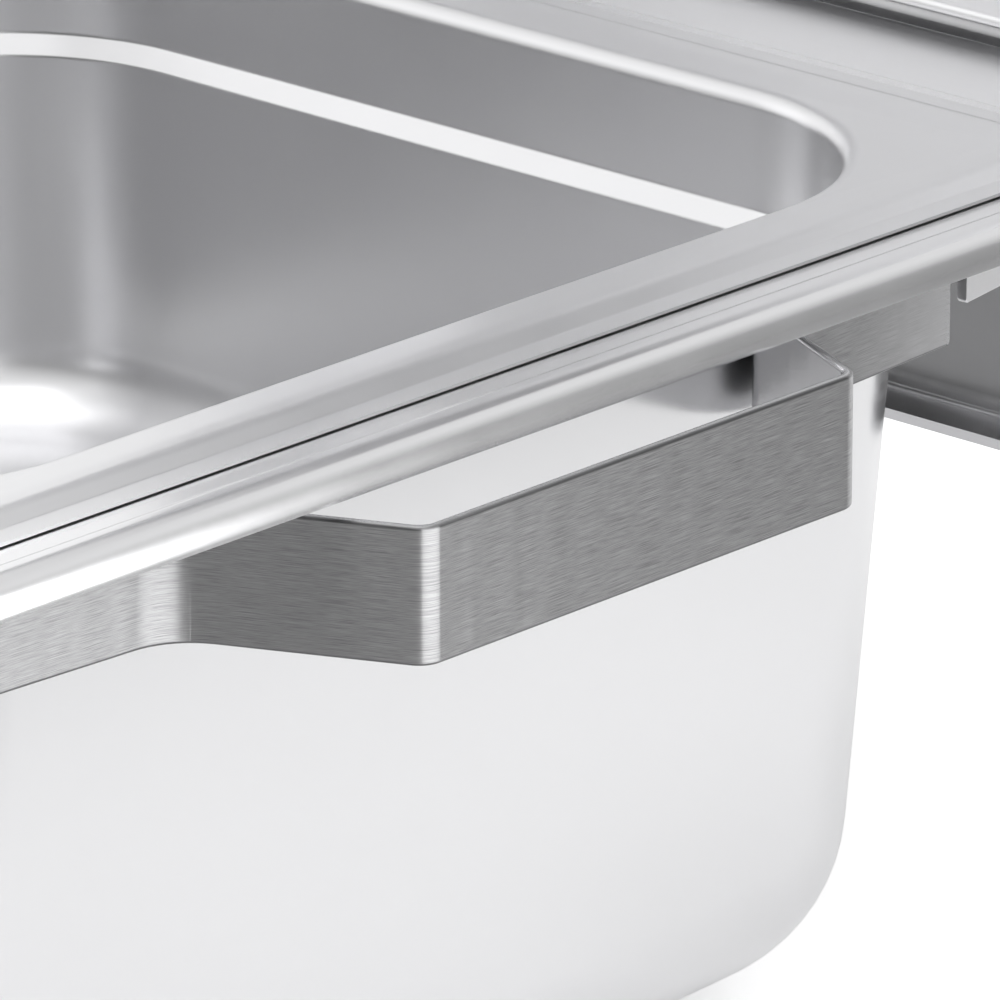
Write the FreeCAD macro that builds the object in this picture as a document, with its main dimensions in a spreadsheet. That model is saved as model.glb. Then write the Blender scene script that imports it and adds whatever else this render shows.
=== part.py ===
import FreeCAD, Part
import math
import os

# Rectangular chafing dish: a drawn water pan on a thick heating plate, a lift-out food
# pan, strap handles on the two long sides and a lid that swings on a rear hinge.
# Millimetres, +Z up, front towards -Y, origin in the middle of the underside.

os.makedirs("parts", exist_ok=True)
doc = FreeCAD.newDocument("chafing_dish")
sheet = doc.addObject("Spreadsheet::Sheet", "Sizes")

SIZES = {
    # food pan
    "pan_width": 290.0, "pan_length": 325.0, "pan_depth": 100.0, "pan_gauge": 0.9,
    "flange_width": 23.0, "land_width": 14.5, "land_drop": 1.8, "flange_corner": 20.0,
    "land_corner": 13.0, "land_run": 3.0, "land_slope": 3.7, "pan_corner": 48.0,
    "lip_bend": 3.5, "pan_taper": 2.0, "shoulder_depth": 23.5, "shoulder_rise": 4.0,
    "shoulder_inset": 2.6, "shoulder_bend": 1.5, "crest_round": 8.0, "step_bend": 1.6, "pan_floor_bend": 16.0,
    # water pan
    "body_gauge": 1.2, "ledge_height": 162.5, "wall_inset": 13.7, "end_inset": 8.5,
    "body_corner": 51.0, "side_bow": 1588.0, "body_taper": 4.55, "body_floor_bend": 34.0,
    "ledge_bend": 4.0, "ledge_reach": 5.6, "bead_run": 2.8, "bead_rise": 1.5,
    "bead_width": 5.1, "bead_fall": 4.9, "bead_slope": 1.9, "skirt_drop": 1.6,
    "crease_bend": 2.0, "crest_bend": 2.5, "bead_bend": 5.0, "skirt_bend": 8.0,
    "plate_thickness": 3.0, "plate_margin": 2.7, "plate_corner": 12.0,
    "plate_chamfer": 1.0,
    # side handles
    "strap_height": 24.6, "strap_gauge": 2.0, "strap_drop": 8.8, "grip_length": 109.4,
    "grip_reach": 40.9, "leg_run": 19.2, "tab_length": 58.9, "wall_bend": 13.0,
    "grip_bend": 5.0, "strap_edge": 0.7, "corner_round": 6.0, "weld_gap": 0.05,
    # hinge
    "axle_reach": 19.5, "axle_drop": 10.5, "axle_radius": 4.0, "axle_fit": 0.05,
    "knuckle_radius": 7.0, "arm_inset": 7.9, "arm_width": 9.0, "arm_gauge": 3.0,
    "arm_crank_bend": 5.0, "arm_foot_bend": 2.0, "open_angle": 96.0, "cap_length": 2.2,
    "cap_inset": 0.6,
    # rear deck, its back plate and the pieces that carry it
    "deck_seam": 5.0, "deck_bend": 6.0, "deck_slot": 4.5, "deck_inset": 29.1,
    "back_reach": 38.5, "channel_gauge": 2.0, "channel_joint": 0.3,
    "channel_drop": 74.8, "channel_lip": 10.0, "lip_fold": 1.2,
    "notch_side": 1.8, "buffer_gap": 0.3, "buffer_thickness": 3.2, "buffer_grip": 6.0,
    "buffer_wall": 1.6, "buffer_round": 1.2, "buffer_side": 1.0,
    "bearing_gap": 0.3, "bearing_thickness": 3.0, "bearing_foot": 30.0,
    "bearing_nose": 8.0, "bearing_slope": 14.0, "bearing_round": 6.0,
    "bearing_heel": 1.0, "bearing_crown": 7.6,
    "stay_spacing": 58.0, "stay_width": 16.0, "stay_drop": 24.5, "stay_height": 26.0,
    "stay_bend": 4.0, "ear_gap": 3.2, "ear_turn": 9.0, "ear_drop": 5.7,
    "ear_height": 20.3, "ear_return": 5.0, "ear_bend": 2.2, "stay_seat": 0.15,
    # lid
    "lid_gauge": 1.2, "lid_gap": 4.0, "lid_lift": 1.5, "lid_height": 74.0,
    "lid_taper": 3.0, "lid_corner": 24.5, "lid_top_bend": 20.0, "hem_height": 5.0,
    "lid_strap_height": 20.0, "lid_grip_reach": 36.0, "lid_strap_low": 28.0,
    "lid_tab": 34.0, "arm_low": 10.0, "arm_high": 45.0, "leaf_screw_edge": 9.0,
    "leaf_screw_pitch": 52.0, "panel_margin": 14.0, "panel_rise": 3.0,
    "panel_corner": 16.0, "panel_run": 6.0, "panel_bend": 2.6,
    "lid_buffer_length": 18.0, "lid_buffer_gap": 0.3, "lid_buffer_round": 0.5,
    "screw_radius": 2.0, "screw_head": 4.2, "head_dome": 5.25, "screw_fit": 0.05,
    "nut_reach": 3.8, "nut_thickness": 2.4, "screw_tail": 1.0,
}
for row, (alias, value) in enumerate(SIZES.items(), start=1):
    sheet.set("A%d" % row, alias)
    sheet.set("B%d" % row, repr(value))
    sheet.setAlias("B%d" % row, alias)
doc.recompute()


def size(alias):
    return float(sheet.get(alias))


def tangent(angle):
    return math.tan(math.radians(angle))


Z_AXIS = FreeCAD.Vector(0, 0, 1)


# Sheet-metal sections in two coordinates
def offset_path(points, distance):
    """Parallel copy of an open path, distance to its left, with mitred corners."""
    out = []
    for i, (x, y) in enumerate(points):
        normals = []
        if i > 0:
            normals.append(left_normal(points[i - 1], points[i]))
        if i < len(points) - 1:
            normals.append(left_normal(points[i], points[i + 1]))
        nx = sum(n[0] for n in normals)
        ny = sum(n[1] for n in normals)
        scale = distance * len(normals) / (nx * nx + ny * ny)
        out.append((x + nx * scale, y + ny * scale))
    return out


def left_normal(start, end):
    dx = end[0] - start[0]
    dy = end[1] - start[1]
    length = math.hypot(dx, dy)
    return (-dy / length, dx / length)


def turn_sign(before, here, after):
    cross = (here[0] - before[0]) * (after[1] - here[1])
    cross -= (here[1] - before[1]) * (after[0] - here[0])
    return 1.0 if cross > 0 else -1.0


def rounded_edges(points, radii):
    """Lines and tangent arcs through an open path of points."""
    flat = [FreeCAD.Vector(x, y, 0) for x, y in points]
    edges = []
    cursor = flat[0]
    for i in range(1, len(flat) - 1):
        radius = radii[i]
        if radius <= 0:
            edges.append(Part.LineSegment(cursor, flat[i]))
            cursor = flat[i]
            continue
        into = (flat[i] - flat[i - 1]).normalize()
        away = (flat[i + 1] - flat[i]).normalize()
        half = into.getAngle(away) / 2.0
        reach = radius * math.tan(half)
        start = flat[i] - into * reach
        end = flat[i] + away * reach
        middle = (away - into).normalize() * (radius / math.cos(half) - radius)
        if (start - cursor).Length > 1e-6:
            edges.append(Part.LineSegment(cursor, start))
        edges.append(Part.Arc(start, flat[i] + middle, end))
        cursor = end
    if (flat[-1] - cursor).Length > 1e-6:
        edges.append(Part.LineSegment(cursor, flat[-1]))
    return edges


def strip_edges(points, radii, gauge):
    """Closed section of sheet metal: a path, its parallel at the gauge to the left."""
    inner = offset_path(points, gauge)
    inner_radii = [0.0] * len(points)
    for i in range(1, len(points) - 1):
        if radii[i] > 0:
            side = turn_sign(points[i - 1], points[i], points[i + 1])
            inner_radii[i] = max(radii[i] - side * gauge, 0.0)
    out = rounded_edges(points, radii)
    out.append(Part.LineSegment(FreeCAD.Vector(*points[-1], 0), FreeCAD.Vector(*inner[-1], 0)))
    out += rounded_edges(inner[::-1], inner_radii[::-1])
    out.append(Part.LineSegment(FreeCAD.Vector(*inner[0], 0), FreeCAD.Vector(*points[0], 0)))
    return out


def loop_edges(points, radii):
    """Closed loop of lines and tangent arcs, one radius for each corner."""
    start = ((points[0][0] + points[-1][0]) / 2.0, (points[0][1] + points[-1][1]) / 2.0)
    path = [start] + list(points) + [start]
    return rounded_edges(path, [0.0] + list(radii) + [0.0])


def section_face(edges):
    """Face standing in the XZ plane, first coordinate along X, second along Z."""
    wire = Part.Wire(Part.__sortEdges__([edge.toShape() for edge in edges]))
    face = Part.Face(wire)
    face.rotate(FreeCAD.Vector(0, 0, 0), FreeCAD.Vector(1, 0, 0), 90)
    return face


# Rounded rectangles, straight or with bowed sides, and rings that follow them
def outline_turns(half_x, half_y, corner, bow):
    """Arcs of a bowed rectangle: centre, radius, first angle and sweep in degrees."""
    a = bow - half_x
    b = bow - half_y
    slope = a / b
    lift = (a * a - b * b) / (2.0 * b)
    # centre (cx, cy) of the corner arc lies at bow - corner from both side centres
    qa = 1.0 + slope * slope
    qb = 2.0 * a + 2.0 * slope * lift
    qc = a * a + lift * lift - (bow - corner) ** 2
    cx = (-qb + math.sqrt(qb * qb - 4.0 * qa * qc)) / (2.0 * qa)
    cy = slope * cx + lift
    side = math.degrees(math.atan2(cy, cx + a))
    end = 90.0 - math.degrees(math.atan2(cx, cy + b))
    turns = []
    for quarter in range(4):
        base = 90.0 * quarter
        odd = quarter % 2 == 1
        first = 90.0 - end if odd else side
        last = 90.0 - side if odd else end
        sx = -1.0 if quarter in (1, 2) else 1.0
        sy = -1.0 if quarter in (2, 3) else 1.0
        turns.append(((sx * cx, sy * cy), corner, base + first, last - first))
        sides = [((0.0, -b), 90.0 - end), ((-a, 0.0), side)]
        centre, half = sides[quarter % 2]
        flip = -1.0 if quarter in (1, 2) else 1.0
        centre = (centre[0] * flip, centre[1] * flip)
        turns.append((centre, bow, base + 90.0 - half, 2.0 * half))
    return turns


def bowed_ring(face, half_x, half_y, corner, bow):
    """Section carried round a bowed rectangle; its X counts outwards from the outline."""
    pieces = []
    for (cx, cy), radius, first, sweep in outline_turns(half_x, half_y, corner, bow):
        piece = face.copy()
        piece.translate(FreeCAD.Vector(radius, 0, 0))
        piece.rotate(FreeCAD.Vector(0, 0, 0), Z_AXIS, first)
        piece.translate(FreeCAD.Vector(cx, cy, 0))
        pieces.append(piece.revolve(FreeCAD.Vector(cx, cy, 0), Z_AXIS, sweep))
    return pieces


def straight_ring(face, half_x, half_y, corner):
    """Section carried round a straight rectangle with rounded corners."""
    pieces = []
    run_x = half_x - corner
    run_y = half_y - corner
    for quarter in range(4):
        angle = 90.0 * quarter
        odd = quarter % 2 == 1
        near = run_y if odd else run_x
        across = run_x if odd else run_y
        turn = face.copy()
        turn.translate(FreeCAD.Vector(corner, 0, 0))
        turn = turn.revolve(FreeCAD.Vector(0, 0, 0), Z_AXIS, 90)
        turn.translate(FreeCAD.Vector(near, across, 0))
        run = face.copy()
        run.translate(FreeCAD.Vector(near + corner, -across, 0))
        run = run.extrude(FreeCAD.Vector(0, 2.0 * across, 0))
        for piece in (turn, run):
            piece.rotate(FreeCAD.Vector(0, 0, 0), Z_AXIS, angle)
            pieces.append(piece)
    return pieces


def straight_slab(half_x, half_y, corner, bottom, height):
    """Flat plate with a rounded outline."""
    box = Part.makeBox(2 * half_x, 2 * half_y, height, FreeCAD.Vector(-half_x, -half_y, bottom))
    upright = [e for e in box.Edges if abs(e.tangentAt(e.FirstParameter).z) > 0.9]
    return box.makeFillet(corner, upright)


def bowed_slab(half_x, half_y, corner, bow, shift, bottom, height):
    """Flat plate whose edge follows a bowed outline moved outwards by shift."""
    arcs = []
    for (cx, cy), radius, first, sweep in outline_turns(half_x, half_y, corner, bow):
        arc = Part.makeCircle(radius + shift, FreeCAD.Vector(cx, cy, bottom), Z_AXIS,
                              first, first + sweep)
        arcs.append(arc)
    face = Part.Face(Part.Wire(Part.__sortEdges__(arcs)))
    return face.extrude(FreeCAD.Vector(0, 0, height))


def joined(pieces):
    return pieces[0].multiFuse(pieces[1:]).removeSplitter()


def feature(label, shape, placement=None):
    item = doc.addObject("Part::Feature", label)
    item.Label = label
    item.Shape = shape
    if placement is not None:
        item.Placement = placement
    return item


# Bodies made from sketches
def start_body(label, placement=None):
    item = doc.addObject("PartDesign::Body", label)
    item.Label = label
    if placement is not None:
        item.Placement = placement
    return item


def sketch_on(body, role, name, edges, offset=None):
    """Sketch on a plane of the body's origin, moved off it by an expression."""
    plane = [o for o in body.Origin.OriginFeatures if o.Role == role][0]
    sketch = body.newObject("Sketcher::SketchObject", name)
    sketch.AttachmentSupport = [(plane, "")]
    sketch.MapMode = "FlatFace"
    if offset is not None:
        sketch.setExpression("AttachmentOffset.Base.z", offset)
    sketch.addGeometry(edges, False)
    return sketch


def pad(body, sketch, length, both_ways=True):
    """Pad whose length is an expression of the sheet."""
    item = body.newObject("PartDesign::Pad", body.Label + "_pad")
    item.Profile = sketch
    item.SideType = "Symmetric" if both_ways else "One side"
    item.setExpression("Length", length)
    return item


def pierce(body, sketch, length):
    """Pocket cut both ways from the sketch's plane."""
    item = body.newObject("PartDesign::Pocket", sketch.Name + "_cut")
    item.Profile = sketch
    item.SideType = "Symmetric"
    item.setExpression("Length", length)
    return item


def tube(label, inner, outer, length, x_start):
    """Part tube along X, with expressions for its radii, length and start."""
    solids = []
    for name, radius in (("outer", outer), ("bore", inner)):
        if radius is None:
            continue
        item = doc.addObject("Part::Cylinder", label + "_" + name)
        item.setExpression("Radius", radius)
        item.setExpression("Height", length)
        item.Placement = FreeCAD.Placement(FreeCAD.Vector(0, 0, 0),
                                           FreeCAD.Rotation(FreeCAD.Vector(0, 1, 0), 90))
        item.setExpression("Placement.Base.x", x_start)
        solids.append(item)
    if len(solids) == 1:
        solids[0].Label = label
        return solids[0]
    cut = doc.addObject("Part::Cut", label + "_tube")
    cut.Base = solids[0]
    cut.Tool = solids[1]
    cut.Label = label
    return cut


# Heights and half sizes that several pieces share
strap_top = size("ledge_height") - size("strap_drop")
strap_bottom = strap_top - size("strap_height")
wall_x = size("pan_width") / 2.0 - size("wall_inset")
wall_y = size("pan_length") / 2.0 - size("end_inset")
lip_x = size("pan_width") / 2.0
lip_y = size("pan_length") / 2.0
lip_height = size("ledge_height")
axle_height = lip_height - size("axle_drop")
axle_back = lip_y + size("axle_reach")
channel_back = lip_y + size("back_reach")
ear_front = size("grip_length") / 2.0 + size("leg_run") + size("tab_length") + size("ear_gap")
deck_half = lip_x - size("deck_inset")
arm_spacing = deck_half - size("arm_inset")
DECK_HALF = "(Sizes.pan_width / 2 - Sizes.deck_inset)"
ARM_SPACING = "(Sizes.pan_width / 2 - Sizes.deck_inset - Sizes.arm_inset)"
AXLE_BACK = "(Sizes.pan_length / 2 + Sizes.axle_reach)"
hinge_line = FreeCAD.Vector(0, axle_back, axle_height)
# every piece of the lid is drawn closed and then turned open about the hinge line
lid_open = FreeCAD.Placement(
    FreeCAD.Vector(0, 0, 0),
    FreeCAD.Rotation(FreeCAD.Vector(1, 0, 0), -size("open_angle")),
    hinge_line)


# Food pan: tapered bowl with a stacking shoulder, a raised land and a lower lip
def make_food_pan():
    gauge = size("pan_gauge")
    land_top = lip_height + size("land_drop") + gauge
    wall = -size("flange_width")
    floor = land_top - size("pan_depth")
    shoulder = land_top - size("shoulder_depth")
    shoulder_foot = shoulder - size("shoulder_rise")
    inset = wall - size("shoulder_inset")
    foot = inset - (shoulder_foot - floor) * tangent(size("pan_taper"))
    land = wall + size("land_width")
    bend = size("lip_bend")
    bowl = [
        (wall + bend, land_top), (wall, land_top), (wall, shoulder),
        (inset, shoulder_foot), (foot, floor), (foot - size("pan_floor_bend") - 1.0, floor)]
    soft = size("shoulder_bend")
    bowl_radii = [0, bend, soft, soft, size("pan_floor_bend"), 0]
    shift = size("flange_width")
    bowl = [(w + shift, z) for w, z in bowl]
    ring = section_face(strip_edges(bowl, bowl_radii, gauge))
    half_x = lip_x - shift
    half_y = lip_y - shift
    pieces = straight_ring(ring, half_x, half_y, size("pan_corner"))
    edge = bowl[-1][0]
    pieces.append(straight_slab(half_x + edge, half_y + edge, size("pan_corner") + edge,
                                floor - gauge, gauge))
    # land: flat frame between the bowl's lip bend and its own small-cornered edge
    run = size("land_run")
    flat = straight_slab(lip_x + land - run, lip_y + land - run, size("land_corner") - run,
                         land_top - gauge, gauge)
    hole = straight_slab(half_x + bend, half_y + bend, size("pan_corner") + bend,
                         land_top - 2 * gauge, 3 * gauge)
    pieces.append(flat.cut(hole))
    rim = [(land - run, land_top), (land, land_top),
           (land + size("land_slope"), lip_height + gauge),
           (0.0, lip_height + gauge)]
    rim = [(w - land, z) for w, z in rim]
    rim_radii = [0, size("step_bend"), size("crest_round"), 0]
    rim = section_face(strip_edges(rim[::-1], rim_radii, gauge))
    pieces += straight_ring(rim, lip_x + land, lip_y + land, size("land_corner"))
    return joined(pieces)


feature("food_pan", make_food_pan())


# Water pan: bowed and tapered bowl, flat ledge that carries the food pan, rolled edge
def make_water_pan():
    gauge = size("body_gauge")
    ledge = size("ledge_height")
    floor = size("plate_thickness")
    taper = tangent(size("body_taper"))
    bend = size("ledge_bend")
    foot = -(strap_top - floor) * taper
    top = (ledge - strap_top) * taper
    bowl = [(foot - size("body_floor_bend") - 1.0, floor), (foot, floor), (top, ledge - gauge),
            (top + bend + 2.0, ledge - gauge)]
    section = section_face(strip_edges(bowl, [0, size("body_floor_bend"), bend, 0], gauge))
    frame = (wall_x, wall_y, size("body_corner"), size("side_bow"))
    pieces = bowed_ring(section, *frame)
    pieces.append(bowed_slab(*frame, bowl[0][0], floor, gauge))
    crease = size("ledge_reach")
    flat = straight_slab(lip_x + 1.0, lip_y + 1.0, size("flange_corner") + 1.0,
                         ledge - gauge, gauge)
    hole = bowed_slab(*frame, bowl[3][0], ledge - 2 * gauge, 3 * gauge)
    pieces.append(flat.cut(hole))
    crest = crease + size("bead_run")
    fall = crest + size("bead_width")
    edge = fall + size("bead_slope")
    low = ledge + size("bead_rise") - size("bead_fall")
    rim = [(1.0, ledge), (crease, ledge), (crest, ledge + size("bead_rise")),
           (fall, ledge + size("bead_rise")), (edge, low), (edge, low - size("skirt_drop"))]
    rim_radii = [0, size("skirt_bend"), size("bead_bend"), size("crest_bend"),
                 size("crease_bend"), 0]
    rim = section_face(strip_edges(rim[::-1], rim_radii, gauge))
    pieces += straight_ring(rim, lip_x, lip_y, size("flange_corner"))
    # the rolled edge stops at both ends of the rear deck
    half = deck_half + size("channel_joint")
    depth = size("pan_depth")
    clear = Part.makeBox(2 * half, depth, depth,
                         FreeCAD.Vector(-half, deck_front, ledge - depth / 2.0))
    return joined(pieces).cut(clear)


deck_front = lip_y + size("deck_seam")
feature("water_pan", make_water_pan())


# Heating plate under the water pan: thick pad with a rounded outline and a small chamfer
def make_heating_plate():
    foot = -(strap_top - size("plate_thickness")) * tangent(size("body_taper"))
    shift = foot - size("body_floor_bend") + size("body_gauge") - size("plate_margin")
    plate = straight_slab(wall_x + shift, wall_y + shift, size("plate_corner"),
                          0.0, size("plate_thickness"))
    low = [e for e in plate.Edges if abs(e.BoundBox.ZMax) < 1e-6]
    return plate.makeChamfer(size("plate_chamfer"), low)


feature("heating_plate", make_heating_plate())


# Strap handles: one bent strip each, tabs lying along the bowed wall
def strap_path(grip, reach, run, tab, tilt):
    """Outer face of the strip in plan: X away from the wall, Y along it."""
    lean = math.radians(tilt)
    near = grip / 2.0 + run
    end = (-tab * math.sin(lean), near + tab * math.cos(lean))
    points = [(end[0], -end[1]), (0.0, -near), (reach, -grip / 2.0), (reach, grip / 2.0),
              (0.0, near), end]
    return points


def make_strap(label, points, height, placement):
    body = start_body(label, placement)
    gauge = size("strap_gauge")
    radii = [0, size("wall_bend"), size("grip_bend"), size("grip_bend"), size("wall_bend"), 0]
    edges = strip_edges(points, radii, gauge)
    sketch = sketch_on(body, "XY_Plane", label + "_plan", edges)
    pad(body, sketch, height, both_ways=False)
    doc.recompute()
    ends = [e for e in body.Tip.Shape.Edges if is_end_corner(e, points)]
    round_over(body, ends, "corner_round")
    doc.recompute()
    rims = [e for e in body.Tip.Shape.Edges if is_long_rim(e, points)]
    round_over(body, rims, "strap_edge")
    return body


def round_over(body, edges, radius):
    """Fillet on some edges of the body's last feature."""
    base = body.Tip
    names = edge_names(base.Shape, edges)
    item = body.newObject("PartDesign::Fillet", body.Label + "_" + radius)
    item.Base = (base, names)
    item.setExpression("Radius", "Sizes." + radius)
    return item


def edge_names(solid, wanted):
    names = []
    for number, edge in enumerate(solid.Edges, start=1):
        if any(edge.isSame(other) for other in wanted):
            names.append("Edge%d" % number)
    return names


def is_end_corner(edge, points):
    """Short edges through the gauge at the ends of the strip."""
    if edge.Length > size("strap_gauge") * 1.2 or edge.BoundBox.ZLength > 1e-6:
        return False
    return abs(abs(edge.CenterOfMass.y) - abs(points[-1][1])) < size("strap_gauge")


def is_long_rim(edge, points):
    """Level edges of the grip, which the hand meets."""
    level = edge.BoundBox.ZLength < 1e-6
    inside = abs(edge.CenterOfMass.y) < abs(points[2][1])
    return level and inside and edge.Length > size("grip_bend") * 0.5


tab_tilt = math.degrees(math.asin((wall_y - size("body_corner")) / size("side_bow")))
wall_touch = wall_x - (wall_y - size("body_corner")) ** 2 / (2.0 * size("side_bow"))
strap_near = size("grip_length") / 2.0 + size("leg_run")
touch_y = wall_y - size("body_corner")
strap_x = wall_touch + (touch_y - strap_near) * tangent(tab_tilt)
strap_x += (size("strap_gauge") + size("weld_gap")) / math.cos(math.radians(tab_tilt))
side_points = strap_path(size("grip_length"), size("grip_reach"), size("leg_run"),
                         size("tab_length"), tab_tilt)
for side, turn in (("right", 0.0), ("left", 180.0)):
    spin = FreeCAD.Rotation(Z_AXIS, turn)
    base = spin.multVec(FreeCAD.Vector(strap_x, 0, strap_bottom))
    make_strap("side_handle_" + side, side_points, "Sizes.strap_height",
               FreeCAD.Placement(base, spin))


# Lid: drawn cover with a hemmed edge and a raised panel on top
lid_x = lip_x + size("lid_gap")
lid_y = lip_y + size("lid_gap")
lid_bottom = size("ledge_height") + size("lid_lift")


def make_lid_shell():
    gauge = size("lid_gauge")
    top = lid_bottom + size("lid_height")
    lean = tangent(size("lid_taper"))
    reach = -size("lid_height") * lean
    bend = size("lid_top_bend")
    inner = reach - bend - 0.5
    path = [(0.0, lid_bottom), (reach, top), (inner, top)]
    wall = section_face(strip_edges(path, [0, bend, 0], gauge))
    pieces = straight_ring(wall, lid_x, lid_y, size("lid_corner"))
    corner = size("lid_corner") + inner
    pieces.append(straight_slab(lid_x + inner, lid_y + inner, corner, top - gauge, gauge))
    shell = joined(pieces)
    # hem: the edge is folded up inside the wall
    hem = [(-gauge, lid_bottom), (-gauge - size("hem_height") * lean,
                                  lid_bottom + size("hem_height"))]
    hem = section_face(strip_edges(hem, [0, 0], gauge))
    shell = joined([shell] + straight_ring(hem, lid_x, lid_y, size("lid_corner")))
    # raised panel, pressed upwards
    margin = inner - size("panel_margin")
    rise = size("panel_rise")
    corner = size("panel_corner")
    run = size("panel_run")
    outer = [(0.0, top - gauge), (0.0, top + rise), (-run, top + rise)]
    rib = section_face(strip_edges(outer, [0, size("panel_bend"), 0], gauge))
    panel_x = lid_x + margin
    panel_y = lid_y + margin
    inside = straight_slab(panel_x - gauge, panel_y - gauge, corner - gauge,
                           top - 2 * gauge, 3 * gauge)
    panel = straight_ring(rib, panel_x, panel_y, corner)
    panel.append(straight_slab(panel_x - run, panel_y - run, corner - run,
                               top + rise - gauge, gauge))
    shell = joined([shell.cut(inside)] + panel)
    drill = 2.0 * size("screw_head")
    for point, out in handle_screws + leaf_screws:
        hole = Part.makeCylinder(size("screw_radius") + size("screw_fit"), 2.0 * drill,
                                 point - out * drill, out)
        shell = shell.cut(hole)
    return shell


# Lid handle: the same strap on the lid's front wall, square to its slope
def on_lid_wall(height):
    """Distance of the lid wall's outer face from the middle, at a height over the edge."""
    return lid_y - height * tangent(size("lid_taper"))


front_points = strap_path(size("grip_length"), size("lid_grip_reach"), size("leg_run"),
                          size("lid_tab"), 0.0)
front_turn = FreeCAD.Rotation(Z_AXIS, -90)
front_lean = FreeCAD.Rotation(FreeCAD.Vector(1, 0, 0), -size("lid_taper"))
front_base = FreeCAD.Vector(0, -on_lid_wall(size("lid_strap_low")),
                            lid_bottom + size("lid_strap_low"))
front_out = front_lean.multVec(FreeCAD.Vector(0, -size("strap_gauge"), 0))
front_place = FreeCAD.Placement(front_base + front_out, front_lean.multiply(front_turn))
lid_handle = make_strap("lid_handle", front_points, "Sizes.lid_strap_height",
                        lid_open.multiply(front_place))
tab_middle = size("grip_length") / 2.0 + size("leg_run") + size("lid_tab") / 2.0
holes = []
handle_screws = []
for along in (-tab_middle, tab_middle):
    middle = FreeCAD.Vector(0, along, size("lid_strap_height") / 2.0)
    holes.append(Part.Circle(FreeCAD.Vector(middle.y, middle.z, 0), Z_AXIS,
                             size("screw_radius") + size("screw_fit")))
    out = front_place.Rotation.multVec(FreeCAD.Vector(1, 0, 0))
    handle_screws.append((front_place.multVec(middle), out))
drilling = sketch_on(lid_handle, "YZ_Plane", "lid_handle_holes", holes)
pierce(lid_handle, drilling, "4 * Sizes.strap_gauge")


# Screws with domed heads and their nuts
def make_screws(label, places, length, placement, nut_at):
    """Group of separate screws; each place is a point and the way the head faces."""
    solids = []
    for point, out in places:
        dome = size("head_dome")
        head = Part.makeSphere(dome)
        below = math.sqrt(dome ** 2 - size("screw_head") ** 2)
        keep = Part.makeCylinder(size("screw_head"), dome, FreeCAD.Vector(0, 0, below))
        head = head.common(keep)
        head.translate(FreeCAD.Vector(0, 0, -below))
        stem = Part.makeCylinder(size("screw_radius"), length, FreeCAD.Vector(0, 0, -length))
        screw = head.fuse(stem)
        nut = Part.Face(Part.makePolygon(hexagon(size("nut_reach"))))
        nut = nut.extrude(FreeCAD.Vector(0, 0, -size("nut_thickness")))
        nut.translate(FreeCAD.Vector(0, 0, -nut_at))
        screw = screw.fuse(nut)
        screw.Placement = FreeCAD.Placement(point, FreeCAD.Rotation(Z_AXIS, out))
        solids.append(screw)
    return feature(label, Part.makeCompound(solids), placement)


def hexagon(reach):
    corners = [FreeCAD.Vector(reach * math.cos(math.radians(60 * i)),
                              reach * math.sin(math.radians(60 * i)), 0) for i in range(7)]
    return corners


# Hinge leaf: a cranked plate screwed to the lid's rear wall, with an arm at each end
# that reaches down past the deck to the axle
def leaf_path():
    """Rear face of the leaf and its arms in Y and Z, for the closed lid."""
    gauge = size("arm_gauge")
    back = axle_back + gauge / 2.0
    seat = gauge / math.cos(math.radians(size("lid_taper"))) + size("weld_gap")
    crank = size("arm_low") + gauge
    return [(back, axle_height), (back, lid_bottom + crank),
            (on_lid_wall(crank) + seat, lid_bottom + crank),
            (on_lid_wall(size("arm_high")) + seat, lid_bottom + size("arm_high"))]


leaf = start_body("hinge_leaf", lid_open)
bends = [0, size("arm_crank_bend"), size("arm_foot_bend"), 0]
section = sketch_on(leaf, "YZ_Plane", "leaf_section",
                    strip_edges(leaf_path(), bends, size("arm_gauge")))
pad(leaf, section, "2 * " + ARM_SPACING + " + Sizes.arm_width")
arm_inside = arm_spacing - size("arm_width") / 2.0
crank_under = lid_bottom + size("arm_low")
window = [(-arm_inside, 0.0), (arm_inside, 0.0), (arm_inside, crank_under),
          (-arm_inside, crank_under)]
pierce(leaf, sketch_on(leaf, "XZ_Plane", "leaf_window", loop_edges(window, [0, 0, 0, 0])),
       "3 * " + AXLE_BACK)
eye = Part.Circle(FreeCAD.Vector(hinge_line.y, hinge_line.z, 0), Z_AXIS,
                  size("knuckle_radius"))
pierce(leaf, sketch_on(leaf, "YZ_Plane", "knuckle_seat", [eye]), "3 * " + ARM_SPACING)
lean = math.radians(size("lid_taper"))
wall_out = FreeCAD.Vector(0, math.cos(lean), math.sin(lean))
wall_up = FreeCAD.Vector(0, -math.sin(lean), math.cos(lean))
screw_row = size("arm_high") - size("leaf_screw_edge")
head_seat = size("arm_gauge") + 2.0 * size("weld_gap")
leaf_screws = []
holes = []
for step in (-1.5, -0.5, 0.5, 1.5):
    wall = FreeCAD.Vector(step * size("leaf_screw_pitch"), on_lid_wall(screw_row),
                          lid_bottom + screw_row)
    holes.append(Part.Circle(FreeCAD.Vector(wall.x, wall.dot(wall_up), 0), Z_AXIS,
                             size("screw_radius") + size("screw_fit")))
    leaf_screws.append((wall + wall_out * head_seat, wall_out))
drilling = sketch_on(leaf, "XZ_Plane", "leaf_holes", holes)
drilling.AttachmentOffset = FreeCAD.Placement(
    FreeCAD.Vector(0, 0, 0), FreeCAD.Rotation(FreeCAD.Vector(1, 0, 0), size("lid_taper")))
pierce(leaf, drilling, "3 * " + AXLE_BACK)

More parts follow.
